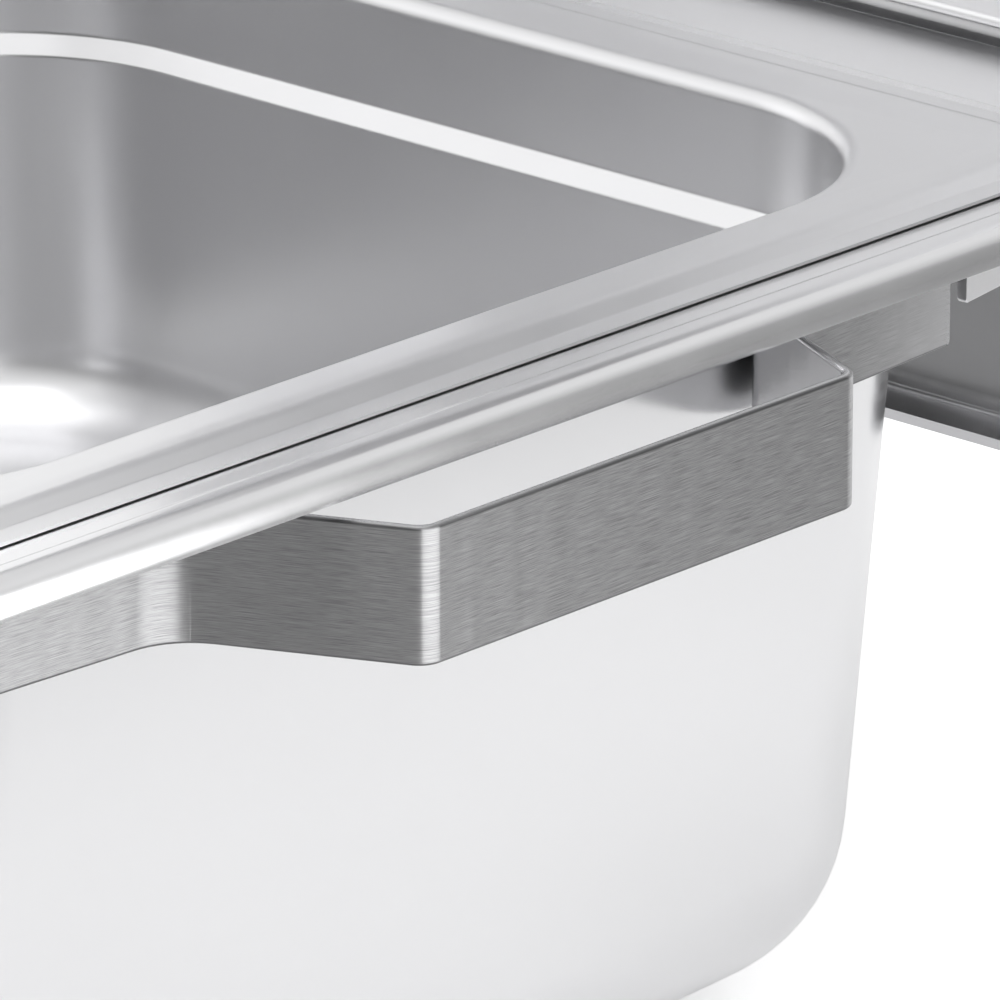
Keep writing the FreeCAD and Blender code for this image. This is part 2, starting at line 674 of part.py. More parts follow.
# Knuckles welded to the arms, turning on the axle
for side, sign in (("right", 1), ("left", -1)):
    start = "%d * %s - Sizes.arm_width / 2" % (sign, ARM_SPACING)
    knuckle = tube("hinge_knuckle_" + side, "Sizes.axle_radius + Sizes.axle_fit",
                   "Sizes.knuckle_radius", "Sizes.arm_width", start)
    knuckle.Placement = FreeCAD.Placement(hinge_line, FreeCAD.Rotation())

feature("lid_shell", make_lid_shell(), lid_open)
for label, places, seat in (("lid_handle_screws", handle_screws, size("strap_gauge")),
                            ("hinge_leaf_screws", leaf_screws, head_seat)):
    clamp = seat + size("lid_gauge") + size("weld_gap") / 2.0
    make_screws(label, places, clamp + size("nut_thickness") + size("screw_tail"),
                lid_open, clamp)


# Soft pads under the front of the lid's hem
def make_lid_buffers():
    wide = 2.0 * size("lid_gauge")
    # the hem's lower face follows the wall's slope, so its inner side is a little lower
    sink = wide * math.sin(math.radians(size("lid_taper"))) + size("weld_gap")
    thick = size("lid_lift") - size("lid_buffer_gap") - sink
    pads = []
    for sign in (-1.0, 1.0):
        middle = sign * (lid_x - size("lid_corner") - size("lid_buffer_length"))
        corner = FreeCAD.Vector(middle - size("lid_buffer_length") / 2.0, -lid_y,
                                lid_bottom - sink - thick)
        block = Part.makeBox(size("lid_buffer_length"), wide, thick, corner)
        low = [e for e in block.Edges if e.BoundBox.ZMax < corner.z + 1e-6]
        pads.append(block.makeFillet(size("lid_buffer_round"), low))
    return Part.makeCompound(pads)


feature("lid_buffers", make_lid_buffers(), lid_open)

# Axle through both knuckles, with a cap on each end
outer_bearing = "(" + ARM_SPACING + " + Sizes.arm_width / 2 + Sizes.bearing_gap"
outer_bearing += " + Sizes.bearing_thickness)"
axle = tube("hinge_axle", None, "Sizes.axle_radius",
            "2 * " + outer_bearing + " + 2 * Sizes.cap_length", "0")
axle.setExpression("Placement.Base.x", "-" + outer_bearing + " - Sizes.cap_length")
axle.setExpression("Placement.Base.y", AXLE_BACK)
axle.setExpression("Placement.Base.z", "Sizes.ledge_height - Sizes.axle_drop")
bearing_edge = arm_spacing + size("arm_width") / 2.0 + size("bearing_gap")
caps = []
for sign in (1.0, -1.0):
    face = bearing_edge + size("bearing_thickness") + size("bearing_gap") / 2.0
    way = FreeCAD.Vector(sign, 0, 0)
    start = FreeCAD.Vector(sign * face, hinge_line.y, hinge_line.z)
    reach = size("cap_length")
    cap = Part.makeCylinder(size("knuckle_radius") - size("cap_inset"), reach, start, way)
    cap = cap.cut(Part.makeCylinder(size("axle_radius"), reach, start, way))
    caps.append(cap)
feature("axle_caps", Part.makeCompound(caps))


# Bearing plates: upright plates on the channel's front face, one beside each knuckle end
def bearing_outline():
    nose = size("bearing_nose")
    back = channel_back
    top = axle_height + nose
    front = axle_back - nose
    low = axle_height - size("bearing_foot")
    slope = low + size("bearing_slope")
    return loop_edges([(back, low), (back, top), (front, top), (front, slope)],
                      [size("bearing_heel"), size("deck_bend"), size("bearing_crown"),
                       size("bearing_round")])


bearing_middle = size("bearing_gap") + size("bearing_thickness") / 2.0
for side, sign in (("right", 1.0), ("left", -1.0)):
    for where, way in (("outer", 1.0), ("inner", -1.0)):
        spot = arm_spacing + way * (size("arm_width") / 2.0 + bearing_middle)
        label = "bearing_%s_%s" % (side, where)
        body = start_body(label, FreeCAD.Placement(FreeCAD.Vector(sign * spot, 0, 0),
                                                   FreeCAD.Rotation()))
        bore = Part.Circle(FreeCAD.Vector(hinge_line.y, hinge_line.z, 0), Z_AXIS,
                           size("axle_radius") + size("axle_fit"))
        outline = sketch_on(body, "YZ_Plane", label + "_outline",
                            bearing_outline() + [bore])
        pad(body, outline, "Sizes.bearing_thickness")

# Rear deck: level with the ledge, folded down into a back plate with a lip, its rear
# corners notched for the arms
deck_under = lip_height - size("channel_gauge")
lip_top = lip_height - size("channel_drop")
channel = start_body("hinge_channel")
fold = [(deck_front + size("weld_gap"), deck_under), (channel_back, deck_under),
        (channel_back, lip_top), (channel_back - size("channel_lip"), lip_top)]
section = sketch_on(channel, "YZ_Plane", "channel_section",
                    strip_edges(fold, [0, size("deck_bend"), size("lip_fold"), 0],
                                size("channel_gauge")))
pad(channel, section, "2 * " + DECK_HALF)
arm_drop = (channel_back - axle_back) * tangent(size("open_angle") - 90.0)
stop_height = axle_height - arm_drop - size("arm_gauge") / 2.0 - size("buffer_gap")
notch_floor = stop_height - size("buffer_thickness")
slot_front = axle_back - size("deck_slot")
slot_rear = channel_back + 2.0 * size("channel_gauge")
slot_top = lip_height + size("channel_gauge")
for side, sign in (("right", 1), ("left", -1)):
    slot = [(slot_front, notch_floor), (slot_rear, notch_floor), (slot_rear, slot_top),
            (slot_front, slot_top)]
    cut = sketch_on(channel, "YZ_Plane", "arm_slot_" + side,
                    loop_edges(slot, [0, 0, 0, 0]), "%d * %s" % (sign, DECK_HALF))
    pierce(channel, cut, "2 * (Sizes.arm_inset + Sizes.arm_width / 2 + Sizes.notch_side)")


# Stop pads: soft caps pushed on the bottom edge of each notch
def make_stop_pads():
    pads = []
    reach = size("channel_gauge") + 2.0 * size("buffer_wall")
    wide = size("arm_width") - 2.0 * size("buffer_side")
    for sign in (1.0, -1.0):
        corner = FreeCAD.Vector(sign * arm_spacing - wide / 2.0,
                                channel_back - size("buffer_wall"),
                                notch_floor - size("buffer_grip"))
        block = Part.makeBox(wide, reach, stop_height - corner.z, corner)
        top = [e for e in block.Edges
               if e.BoundBox.ZMin > stop_height - 1e-6 and e.BoundBox.XLength > 1.0]
        block = block.makeFillet(size("buffer_round"), top)
        slot = Part.makeBox(wide, size("channel_gauge"), size("buffer_grip"),
                            FreeCAD.Vector(corner.x, channel_back, corner.z))
        pads.append(block.cut(slot))
    return Part.makeCompound(pads)


feature("stop_pads", make_stop_pads())


# Ears: side plates behind the handle tabs, each with a narrow return welded behind an
# end of the back plate
ear_bottom = lip_height - size("ear_drop") - size("ear_height")
ear_skin = size("strap_gauge") / math.cos(math.radians(size("ear_turn")))
ear_x = deck_half + size("channel_joint") + ear_skin
ear_y = channel_back + size("channel_gauge") + size("weld_gap") + size("strap_gauge")
ear_start = (ear_x + (ear_y - ear_front) * tangent(size("ear_turn")),
             ear_front)
ear_points = [ear_start, (ear_x, ear_y), (ear_x - size("ear_return"), ear_y)]
for side, mirrored in (("right", False), ("left", True)):
    points = ear_points
    if mirrored:
        points = [(-x, y) for x, y in points][::-1]
    edges = strip_edges(points, [0, size("ear_bend"), 0], size("strap_gauge"))
    place = FreeCAD.Placement(FreeCAD.Vector(0, 0, ear_bottom), FreeCAD.Rotation())
    body = start_body("hinge_ear_" + side, place)
    plan = sketch_on(body, "XY_Plane", "ear_plan_" + side, edges)
    pad(body, plan, "Sizes.ear_height", both_ways=False)
    doc.recompute()
    front = [e for e in body.Tip.Shape.Edges if e.BoundBox.YMax < ear_front + size("ear_bend")
             and e.Length < 1.2 * size("strap_gauge") and e.BoundBox.ZMax < 1e-6]
    round_over(body, front, "corner_round")


# Stays: bent strips that carry the back plate on the water pan's rear wall
def back_wall(height):
    """Outermost line of the water pan's rear wall beside a stay, at a height."""
    near = size("stay_spacing") - size("stay_width") / 2.0
    sag = size("side_bow") - math.sqrt(size("side_bow") ** 2 - near ** 2)
    return wall_y - sag - (strap_top - height) * tangent(size("body_taper"))


stay_high = lip_height - size("stay_drop")
stay_low = stay_high - size("stay_height")
stay_path = [(back_wall(stay_high) + size("stay_seat"), stay_high),
             (back_wall(stay_low) + size("stay_seat"), stay_low),
             (channel_back, stay_low), (channel_back, stay_high)]
stay_radii = [0, size("stay_bend"), size("stay_bend"), 0]
for side, sign in (("right", 1.0), ("left", -1.0)):
    spot = FreeCAD.Vector(sign * size("stay_spacing"), 0, 0)
    body = start_body("hinge_stay_" + side, FreeCAD.Placement(spot, FreeCAD.Rotation()))
    section = sketch_on(body, "YZ_Plane", "stay_section_" + side,
                        strip_edges(stay_path, stay_radii, size("channel_gauge")))
    pad(body, section, "Sizes.stay_width")

doc.recompute()
for item in doc.Objects:
    if "Invalid" in item.State or "Error" in item.State:
        raise RuntimeError("failed: %s" % item.Label)


# What is written out: every top-level piece, under its own name
def pieces():
    used = set()
    for item in doc.Objects:
        if item.TypeId in ("Part::Cut",):
            used.update((item.Base.Name, item.Tool.Name))
    for item in doc.Objects:
        kind = item.TypeId
        if item.Name in used:
            continue
        if kind in ("PartDesign::Body", "Part::Feature", "Part::Cut", "Part::Cylinder"):
            yield item


for item in pieces():
    shape = item.Shape
    if shape.isNull() or not shape.isValid():
        raise RuntimeError("bad shape: %s" % item.Label)
    shape.exportStep("parts/%s.step" % item.Label)
    box = shape.BoundBox
    print("%-22s %2d solid %10.1f mm3  x %7.1f %7.1f  y %7.1f %7.1f  z %7.1f %7.1f" % (
        item.Label, len(shape.Solids), shape.Volume, box.XMin, box.XMax, box.YMin, box.YMax,
        box.ZMin, box.ZMax))
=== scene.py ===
import math

import bmesh
import bpy
from mathutils import Matrix, Vector


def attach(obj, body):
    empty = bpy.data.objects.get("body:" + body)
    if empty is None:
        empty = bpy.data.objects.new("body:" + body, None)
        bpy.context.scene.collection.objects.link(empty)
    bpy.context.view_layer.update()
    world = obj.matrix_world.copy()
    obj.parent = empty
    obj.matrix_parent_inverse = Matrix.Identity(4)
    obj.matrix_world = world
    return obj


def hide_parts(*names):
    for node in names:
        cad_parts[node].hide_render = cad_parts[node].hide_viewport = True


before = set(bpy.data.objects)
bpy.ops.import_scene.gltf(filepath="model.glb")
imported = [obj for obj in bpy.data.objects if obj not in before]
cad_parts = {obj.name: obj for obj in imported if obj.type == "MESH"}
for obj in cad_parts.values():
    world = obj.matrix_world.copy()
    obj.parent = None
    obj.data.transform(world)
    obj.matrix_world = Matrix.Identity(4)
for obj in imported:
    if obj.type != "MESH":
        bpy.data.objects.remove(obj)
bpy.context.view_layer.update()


# Heating plate
# The pad under the water pan that stands on the hob or the table. It is a sandwich of
# aluminium and magnetic steel, brazed to the pan's floor and turned flat.
MM = 0.001
LEDGE_TOP = 162.5
PLATE_THICKNESS = 3.0
PLATE_HALF_X = 83.78
PLATE_HALF_Y = 106.48
PLATE_CORNER = 12.0
PLATE_CHAMFER = 1.0
CORNER_STEPS = 24
SIDE_STEPS = 8
QUARTERS = ((1, 1), (-1, 1), (-1, -1), (1, -1))


def straight_outline(half_x, half_y, corner):
    """Stations round a rectangle with rounded corners: centre, radius and facing."""
    stations = []
    for quarter, (sx, sy) in enumerate(QUARTERS):
        facing = math.radians(90.0 * quarter)
        nx, ny = QUARTERS[(quarter + 1) % 4]
        centre = Vector((sx * (half_x - corner), sy * (half_y - corner)))
        following = Vector((nx * (half_x - corner), ny * (half_y - corner)))
        for step in range(CORNER_STEPS + 1):
            turn = math.radians(90.0) * step / CORNER_STEPS
            stations.append((centre, corner, facing + turn))
        for step in range(1, SIDE_STEPS):
            beside = centre.lerp(following, step / SIDE_STEPS)
            stations.append((beside, corner, facing + math.radians(90.0)))
    return stations


def loop_at(stations, outwards, height):
    """One level loop of points, moved outwards from an outline."""
    points = []
    for centre, radius, facing in stations:
        reach = radius + outwards
        points.append(Vector((centre.x + reach * math.cos(facing),
                              centre.y + reach * math.sin(facing), height)))
    return points


def skin(name, loops, wrapped=False):
    """Closed surface through loops of points in millimetres, its ends capped."""
    shell = bmesh.new()
    lengths = shell.loops.layers.uv.new("lengths")
    rows = [[shell.verts.new(point * MM) for point in loop] for loop in loops]
    count = len(loops[0])
    along = 0.0
    pairs = list(zip(range(len(rows) - 1), range(1, len(rows))))
    if wrapped:
        pairs.append((len(rows) - 1, 0))
    for here, ahead in pairs:
        gaps = [(a - b).length for a, b in zip(loops[here], loops[ahead])]
        further = along + sum(gaps) / count
        around = 0.0
        for j in range(count):
            k = (j + 1) % count
            step = (loops[here][k] - loops[here][j]).length
            face = shell.faces.new((rows[here][j], rows[here][k], rows[ahead][k], rows[ahead][j]))
            marks = ((along, around), (along, around + step), (further, around + step),
                     (further, around))
            for corner, (u, v) in zip(face.loops, marks):
                corner[lengths].uv = (u * MM, v * MM)
            around += step
        along = further
    if not wrapped:
        shell.faces.new(rows[0][::-1])
        shell.faces.new(rows[-1])
    bmesh.ops.recalc_face_normals(shell, faces=shell.faces)
    mesh = bpy.data.meshes.new(name)
    shell.to_mesh(mesh)
    shell.free()
    piece = bpy.data.objects.new(name, mesh)
    bpy.context.scene.collection.objects.link(piece)
    return piece


def soften(piece, sharp=32.0):
    """Smooth shading that keeps flats flat and the sheet's cut edges crisp."""
    piece.data.polygons.foreach_set("use_smooth", [True] * len(piece.data.polygons))
    piece.data.set_sharp_from_angle(angle=math.radians(sharp))
    weighted = piece.modifiers.new("even_normals", "WEIGHTED_NORMAL")
    weighted.keep_sharp = True
    weighted.weight = 90
    return piece


def dress(piece, material, body, *nodes):
    """Give a piece its material, let it ride on a body and stand for CAD nodes."""
    piece.data.materials.clear()
    piece.data.materials.append(material)
    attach(piece, body)
    if nodes:
        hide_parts(*nodes)
    return piece


def new_metal(name, colour, roughness):
    """Empty metal material: its node tree and its shader."""
    material = bpy.data.materials.new(name)
    material.use_nodes = True
    tree = material.node_tree
    shader = tree.nodes["Principled BSDF"]
    shader.inputs["Base Color"].default_value = (*colour, 1.0)
    shader.inputs["Metallic"].default_value = 1.0
    shader.inputs["Roughness"].default_value = roughness
    return material, tree, shader


def stretched_noise(tree, source, stretch, scale, detail):
    """Noise on a texture coordinate output, pulled out along some of its axes."""
    place = tree.nodes.new("ShaderNodeTexCoord")
    mapping = tree.nodes.new("ShaderNodeMapping")
    noise = tree.nodes.new("ShaderNodeTexNoise")
    mapping.inputs["Scale"].default_value = stretch
    noise.inputs["Scale"].default_value = scale
    noise.inputs["Detail"].default_value = detail
    tree.links.new(place.outputs[source], mapping.inputs["Vector"])
    tree.links.new(mapping.outputs["Vector"], noise.inputs["Vector"])
    return noise.outputs["Fac"]


def mapped(tree, value, edges, levels):
    """Value that runs from one level to another between two edges."""
    node = tree.nodes.new("ShaderNodeMapRange")
    node.inputs["From Min"].default_value = edges[0]
    node.inputs["From Max"].default_value = edges[1]
    node.inputs["To Min"].default_value = levels[0]
    node.inputs["To Max"].default_value = levels[1]
    tree.links.new(value, node.inputs["Value"])
    return node.outputs["Result"]


def between(tree, value, low, high):
    """Map a noise value, most of which lies near the middle, to a range."""
    return mapped(tree, value, (0.3, 0.7), (low, high))


def tinted(tree, value, dark, light):
    """Colour that runs from dark to light with a value."""
    mix = tree.nodes.new("ShaderNodeMix")
    mix.data_type = "RGBA"
    mix.inputs["A"].default_value = (*dark, 1.0)
    mix.inputs["B"].default_value = (*light, 1.0)
    tree.links.new(value, mix.inputs["Factor"])
    return mix.outputs["Result"]


def relief(tree, shader, value, distance, strength=1.0):
    """Fine relief on the surface, with its depth in metres."""
    bump = tree.nodes.new("ShaderNodeBump")
    bump.inputs["Distance"].default_value = distance
    bump.inputs["Strength"].default_value = strength
    tree.links.new(value, bump.inputs["Height"])
    tree.links.new(bump.outputs["Normal"], shader.inputs["Normal"])


def turned_steel():
    """Flat steel face with the fine rings of a facing tool and a few scuffs."""
    material, tree, shader = new_metal("turned_steel", (0.46, 0.46, 0.47), 0.34)
    place = tree.nodes.new("ShaderNodeTexCoord")
    rings = tree.nodes.new("ShaderNodeTexWave")
    rings.wave_type = "RINGS"
    rings.rings_direction = "Z"
    rings.inputs["Scale"].default_value = 260.0
    rings.inputs["Distortion"].default_value = 0.4
    tree.links.new(place.outputs["Object"], rings.inputs["Vector"])
    relief(tree, shader, rings.outputs["Fac"], 0.00002, 0.4)
    scuffs = stretched_noise(tree, "Object", (1.0, 1.0, 1.0), 60.0, 4.0)
    tree.links.new(between(tree, scuffs, 0.28, 0.46), shader.inputs["Roughness"])
    return material


plate_outline = straight_outline(PLATE_HALF_X, PLATE_HALF_Y, PLATE_CORNER)
plate_levels = [(-PLATE_CHAMFER, 0.0), (0.0, PLATE_CHAMFER), (0.0, PLATE_THICKNESS - 0.2),
                (-0.2, PLATE_THICKNESS)]
heating_plate = skin("heating_pad", [loop_at(plate_outline, w, z) for w, z in plate_levels])
dress(soften(heating_plate), turned_steel(), "base", "heating_plate")


# Water pan
# The outer vessel, deep-drawn from one stainless sheet and satin polished. Its walls bow
# out a little and lean in towards the floor. The top is pressed into a flat ledge that
# carries the food pan, a raised bead and a short turned-down edge.
BODY_GAUGE = 1.2
WALL_HALF_X = 131.3
WALL_HALF_Y = 154.0
WALL_CORNER = 51.0
WALL_BOW = 1588.0
WALL_TAPER = 4.55
WALL_LINE = 153.7
FLOOR_BEND = 34.0
LEDGE_BEND = 4.0
LIP_HALF_X = 145.0
LIP_HALF_Y = 162.5
LIP_CORNER = 20.0
CREASE_OUT = 5.6
CREST_OUT = 8.4
FALL_OUT = 13.5
EDGE_OUT = 15.4
BEAD_TOP = LEDGE_TOP + 1.5
BEAD_LOW = LEDGE_TOP - 3.4
SKIRT_LOW = LEDGE_TOP - 5.0
RIM_BENDS = (0.0, 8.0, 5.0, 2.5, 2.0, 0.0)
DECK_FRONT = 167.5
DECK_HALF = 115.9
DECK_JOINT = 0.3


def bowed_outline(half_x, half_y, corner, bow):
    """Stations round a rectangle whose four sides are wide arcs."""
    a = bow - half_x
    b = bow - half_y
    slope = a / b
    lift = (a * a - b * b) / (2.0 * b)
    qa = 1.0 + slope * slope
    qb = 2.0 * a + 2.0 * slope * lift
    qc = a * a + lift * lift - (bow - corner) ** 2
    cx = (-qb + math.sqrt(qb * qb - 4.0 * qa * qc)) / (2.0 * qa)
    cy = slope * cx + lift
    side = math.atan2(cy, cx + a)
    end = math.atan2(cx, cy + b)
    right = math.radians(90.0)
    stations = []
    for quarter, (sx, sy) in enumerate(QUARTERS):
        facing = right * quarter
        first, last = (end, right - side) if quarter % 2 else (side, right - end)
        centre = Vector((sx * cx, sy * cy))
        for step in range(CORNER_STEPS + 1):
            stations.append((centre, corner, facing + first + (last - first) * step / CORNER_STEPS))
        middle = (Vector((0, -b)), Vector((a, 0)), Vector((0, b)), Vector((-a, 0)))[quarter]
        half = side if quarter % 2 else end
        for step in range(1, SIDE_STEPS):
            across = half * (2.0 * step / SIDE_STEPS - 1.0)
            stations.append((middle, bow, facing + right + across))
    return stations


def turned(vector, angle):
    """Plane vector turned to the left by an angle."""
    return Vector((vector.x * math.cos(angle) - vector.y * math.sin(angle),
                   vector.x * math.sin(angle) + vector.y * math.cos(angle)))


def bent_path(points, radii, steps=8):
    """Open path in a plane with its corners turned into arcs."""
    points = [Vector(p) for p in points]
    path = [points[0]]
    for before, here, after, radius in zip(points, points[1:], points[2:], radii[1:-1]):
        if radius <= 0.0:
            path.append(here)
            continue
        into = (here - before).normalized()
        away = (after - here).normalized()
        turn = math.atan2(into.x * away.y - into.y * away.x, into.dot(away))
        start = here - into * radius * math.tan(abs(turn) / 2.0)
        across = turned(into, math.copysign(math.pi / 2.0, turn)) * radius
        for step in range(steps + 1):
            path.append(start + across + turned(-across, turn * step / steps))
    path.append(points[-1])
    return path


def both_faces(points, radii, gauge, steps=8):
    """A bent sheet's given face and its other face, a gauge to the left."""
    points = [Vector(p) for p in points]
    lefts = [turned((b - a).normalized(), math.pi / 2.0) for a, b in zip(points, points[1:])]
    other = []
    inner = []
    for i, point in enumerate(points):
        near = lefts[max(i - 1, 0):i + 1]
        total = sum(near, Vector((0.0, 0.0)))
        other.append(point + total * (gauge * len(near) / total.length_squared))
        turn = 0.0
        if len(near) == 2:
            turn = near[0].x * near[1].y - near[0].y * near[1].x
        inner.append(max(radii[i] - math.copysign(gauge, turn), 0.0) if radii[i] > 0 else 0.0)
    return bent_path(points, radii, steps), bent_path(other, inner, steps)


def cut_away(piece, blocks):
    """Cut straight blocks, given by their corners in millimetres, out of a piece."""
    for low, high in blocks:
        low = Vector(low)
        high = Vector(high)
        corners = [Vector((low.x, low.y, 0)), Vector((high.x, low.y, 0)),
                   Vector((high.x, high.y, 0)), Vector((low.x, high.y, 0))]
        loops = [[Vector((c.x, c.y, z)) for c in corners] for z in (low.z, high.z)]
        cutter = skin("cutter", loops)
        notch = piece.modifiers.new("notch", "BOOLEAN")
        notch.operation = "DIFFERENCE"
        notch.solver = "EXACT"
        notch.object = cutter
        graph = bpy.context.evaluated_depsgraph_get()
        mesh = bpy.data.meshes.new_from_object(piece.evaluated_get(graph))
        piece.modifiers.clear()
        piece.data = mesh
        bpy.data.objects.remove(cutter)
    return piece


def satin_steel(name, colour, roughness, grain=0.000002):
    """Drawn and satin polished sheet: faint cloudiness, fine grain, small rub marks."""
    material, tree, shader = new_metal(name, colour, roughness)
    clouds = stretched_noise(tree, "Object", (1.0, 1.0, 1.0), 14.0, 2.0)
    dark = tuple(c * 0.985 for c in colour)
    light = tuple(min(c * 1.01, 1.0) for c in colour)
    tree.links.new(tinted(tree, clouds, dark, light), shader.inputs["Base Color"])
    rubs = stretched_noise(tree, "Object", (1.0, 1.0, 1.6), 60.0, 2.0)
    tree.links.new(between(tree, rubs, roughness - 0.012, roughness + 0.015),
                   shader.inputs["Roughness"])
    fine = stretched_noise(tree, "Object", (1.0, 1.0, 1.0), 1400.0, 1.0)
    relief(tree, shader, fine, grain, 0.2)
    return material


def water_pan_loops():
    """Loops of the whole sheet: inside face from the floor out, outside face back."""
    lean = math.tan(math.radians(WALL_TAPER))
    bowed = bowed_outline(WALL_HALF_X, WALL_HALF_Y, WALL_CORNER, WALL_BOW)
    edge = straight_outline(LIP_HALF_X, LIP_HALF_Y, LIP_CORNER)
    foot = -(WALL_LINE - PLATE_THICKNESS) * lean
    top = (LEDGE_TOP - WALL_LINE) * lean
    under = LEDGE_TOP - BODY_GAUGE
    bowl = [(foot - FLOOR_BEND - 1.0, PLATE_THICKNESS), (foot, PLATE_THICKNESS), (top, under),
            (top + LEDGE_BEND + 2.0, under)]
    outside, inside = both_faces(bowl, [0, FLOOR_BEND, LEDGE_BEND, 0], BODY_GAUGE, 14)
    rim = [(EDGE_OUT, SKIRT_LOW), (EDGE_OUT, BEAD_LOW), (FALL_OUT, BEAD_TOP),
           (CREST_OUT, BEAD_TOP), (CREASE_OUT, LEDGE_TOP), (1.0, LEDGE_TOP)]
    above, below = both_faces(rim, RIM_BENDS, BODY_GAUGE, 12)
    loops = [loop_at(bowed, w, z) for w, z in inside]
    loops += [loop_at(edge, w, z) for w, z in above[::-1]]
    loops += [loop_at(edge, w, z) for w, z in below]
    loops += [loop_at(bowed, w, z) for w, z in outside[::-1]]
    return loops


body_steel = satin_steel("body_satin_steel", (0.77, 0.77, 0.78), 0.20)
water_pan = skin("drawn_water_pan", water_pan_loops())
rear = DECK_HALF + DECK_JOINT
cut_away(water_pan, [((-rear, DECK_FRONT, 112.0), (rear, 268.0, 212.0))])
dress(soften(water_pan), body_steel, "base", "water_pan")


# Side handles
# One bent strip of stainless flat bar for each side, brushed along its length, its ends spot welded
# to the wall. The edges are broken by hand, so they catch a thin bright line; a dark line is painted
# along them, and the brushed face is painted darker as shade.
STRAP_HEIGHT = 24.6
STRAP_GAUGE = 2.0
STRAP_LOW = WALL_LINE - STRAP_HEIGHT
GRIP_LENGTH = 109.4
GRIP_REACH = 40.9
LEG_RUN = 19.2
TAB_LENGTH = 58.9
TAB_ROUND = 0.8
TAB_WORN_FROM = 8.0
STRAP_EDGE = 0.7
STRAP_BENDS = (0.0, 13.0, 5.0, 5.0, 13.0, 0.0)
WELD_GAP = 0.05


def strap_points(reach, tab, tilt):
    """Outer face of a strap in plan: out from the wall, and along it."""
    near = GRIP_LENGTH / 2.0 + LEG_RUN
    end = (-tab * math.sin(tilt), near + tab * math.cos(tilt))
    return [(end[0], -end[1]), (0.0, -near), (reach, -GRIP_LENGTH / 2.0),
            (reach, GRIP_LENGTH / 2.0), (0.0, near), end]


def bar_section(gauge, low, high, edge, steps=4):
    """Loop of a flat bar's section with broken edges: across the gauge, and up."""
    section = []
    corners = ((gauge - edge, high - edge), (edge, high - edge), (edge, low + edge),
               (gauge - edge, low + edge))
    for quarter, (x, z) in enumerate(corners):
        for step in range(steps + 1):
            angle = math.radians(90.0 * (quarter + step / steps))
            section.append((x + edge * math.cos(angle), z + edge * math.sin(angle)))
    return section


def corner_dip(near, end_round):
    """How far a rounded corner has taken the edge in, at a distance from the end."""
    short = max(end_round - max(near, 0.0), 0.0)
    return end_round - math.sqrt(max(end_round ** 2 - short ** 2, 0.0))


def strap_loops(points, radii, gauge, height, end_rounds, edge):
    """Sections of a bent flat bar with rounded ends, from one end to the other."""
    path = bent_path(points, radii, 16)
    steps = [0.02, 0.08, 0.18, 0.32, 0.5, 0.72, 1.0]
    first = (path[1] - path[0]).normalized()
    last = (path[-1] - path[-2]).normalized()
    head_round, tail_round = end_rounds
    head = [path[0] + first * head_round * s for s in steps]
    tail = [path[-1] - last * tail_round * s for s in steps[::-1]]
    whole = [path[0]] + head + path[1:-1] + tail + [path[-1]]
    loops = []
    for i, here in enumerate(whole):
        before = whole[max(i - 1, 0)]
        after = whole[min(i + 1, len(whole) - 1)]
        into = (here - before).normalized() if i else (after - here).normalized()
        away = (after - here).normalized() if i < len(whole) - 1 else into
        left = turned((into + away).normalized(), math.pi / 2.0)
        left *= 1.0 / max(left.dot(turned(into, math.pi / 2.0)), 0.5)
        behind = (here - path[0]).dot(first)
        ahead = (path[-1] - here).dot(last)
        dip = max(corner_dip(behind, head_round), corner_dip(ahead, tail_round))
        rounded = edge if min(behind, ahead) > edge else 0.35
        section = bar_section(gauge, dip, height - dip, rounded)
        loops.append([Vector((*(here + left * across), up)) for across, up in section])
    return loops


def blended(tree, first, second, share):
    """Share of a first value added to the rest of a second one."""
    total = tree.nodes.new("ShaderNodeMix")
    total.inputs["Factor"].default_value = share
    tree.links.new(second, total.inputs["A"])
    tree.links.new(first, total.inputs["B"])
    return total.outputs["Result"]


def multiplied(tree, first, second):
    """Product of two colours."""
    product = tree.nodes.new("ShaderNodeMix")
    product.data_type = "RGBA"
    product.blend_type = "MULTIPLY"
    product.inputs["Factor"].default_value = 1.0
    tree.links.new(first, product.inputs["A"])
    tree.links.new(second, product.inputs["B"])
    return product.outputs["Result"]


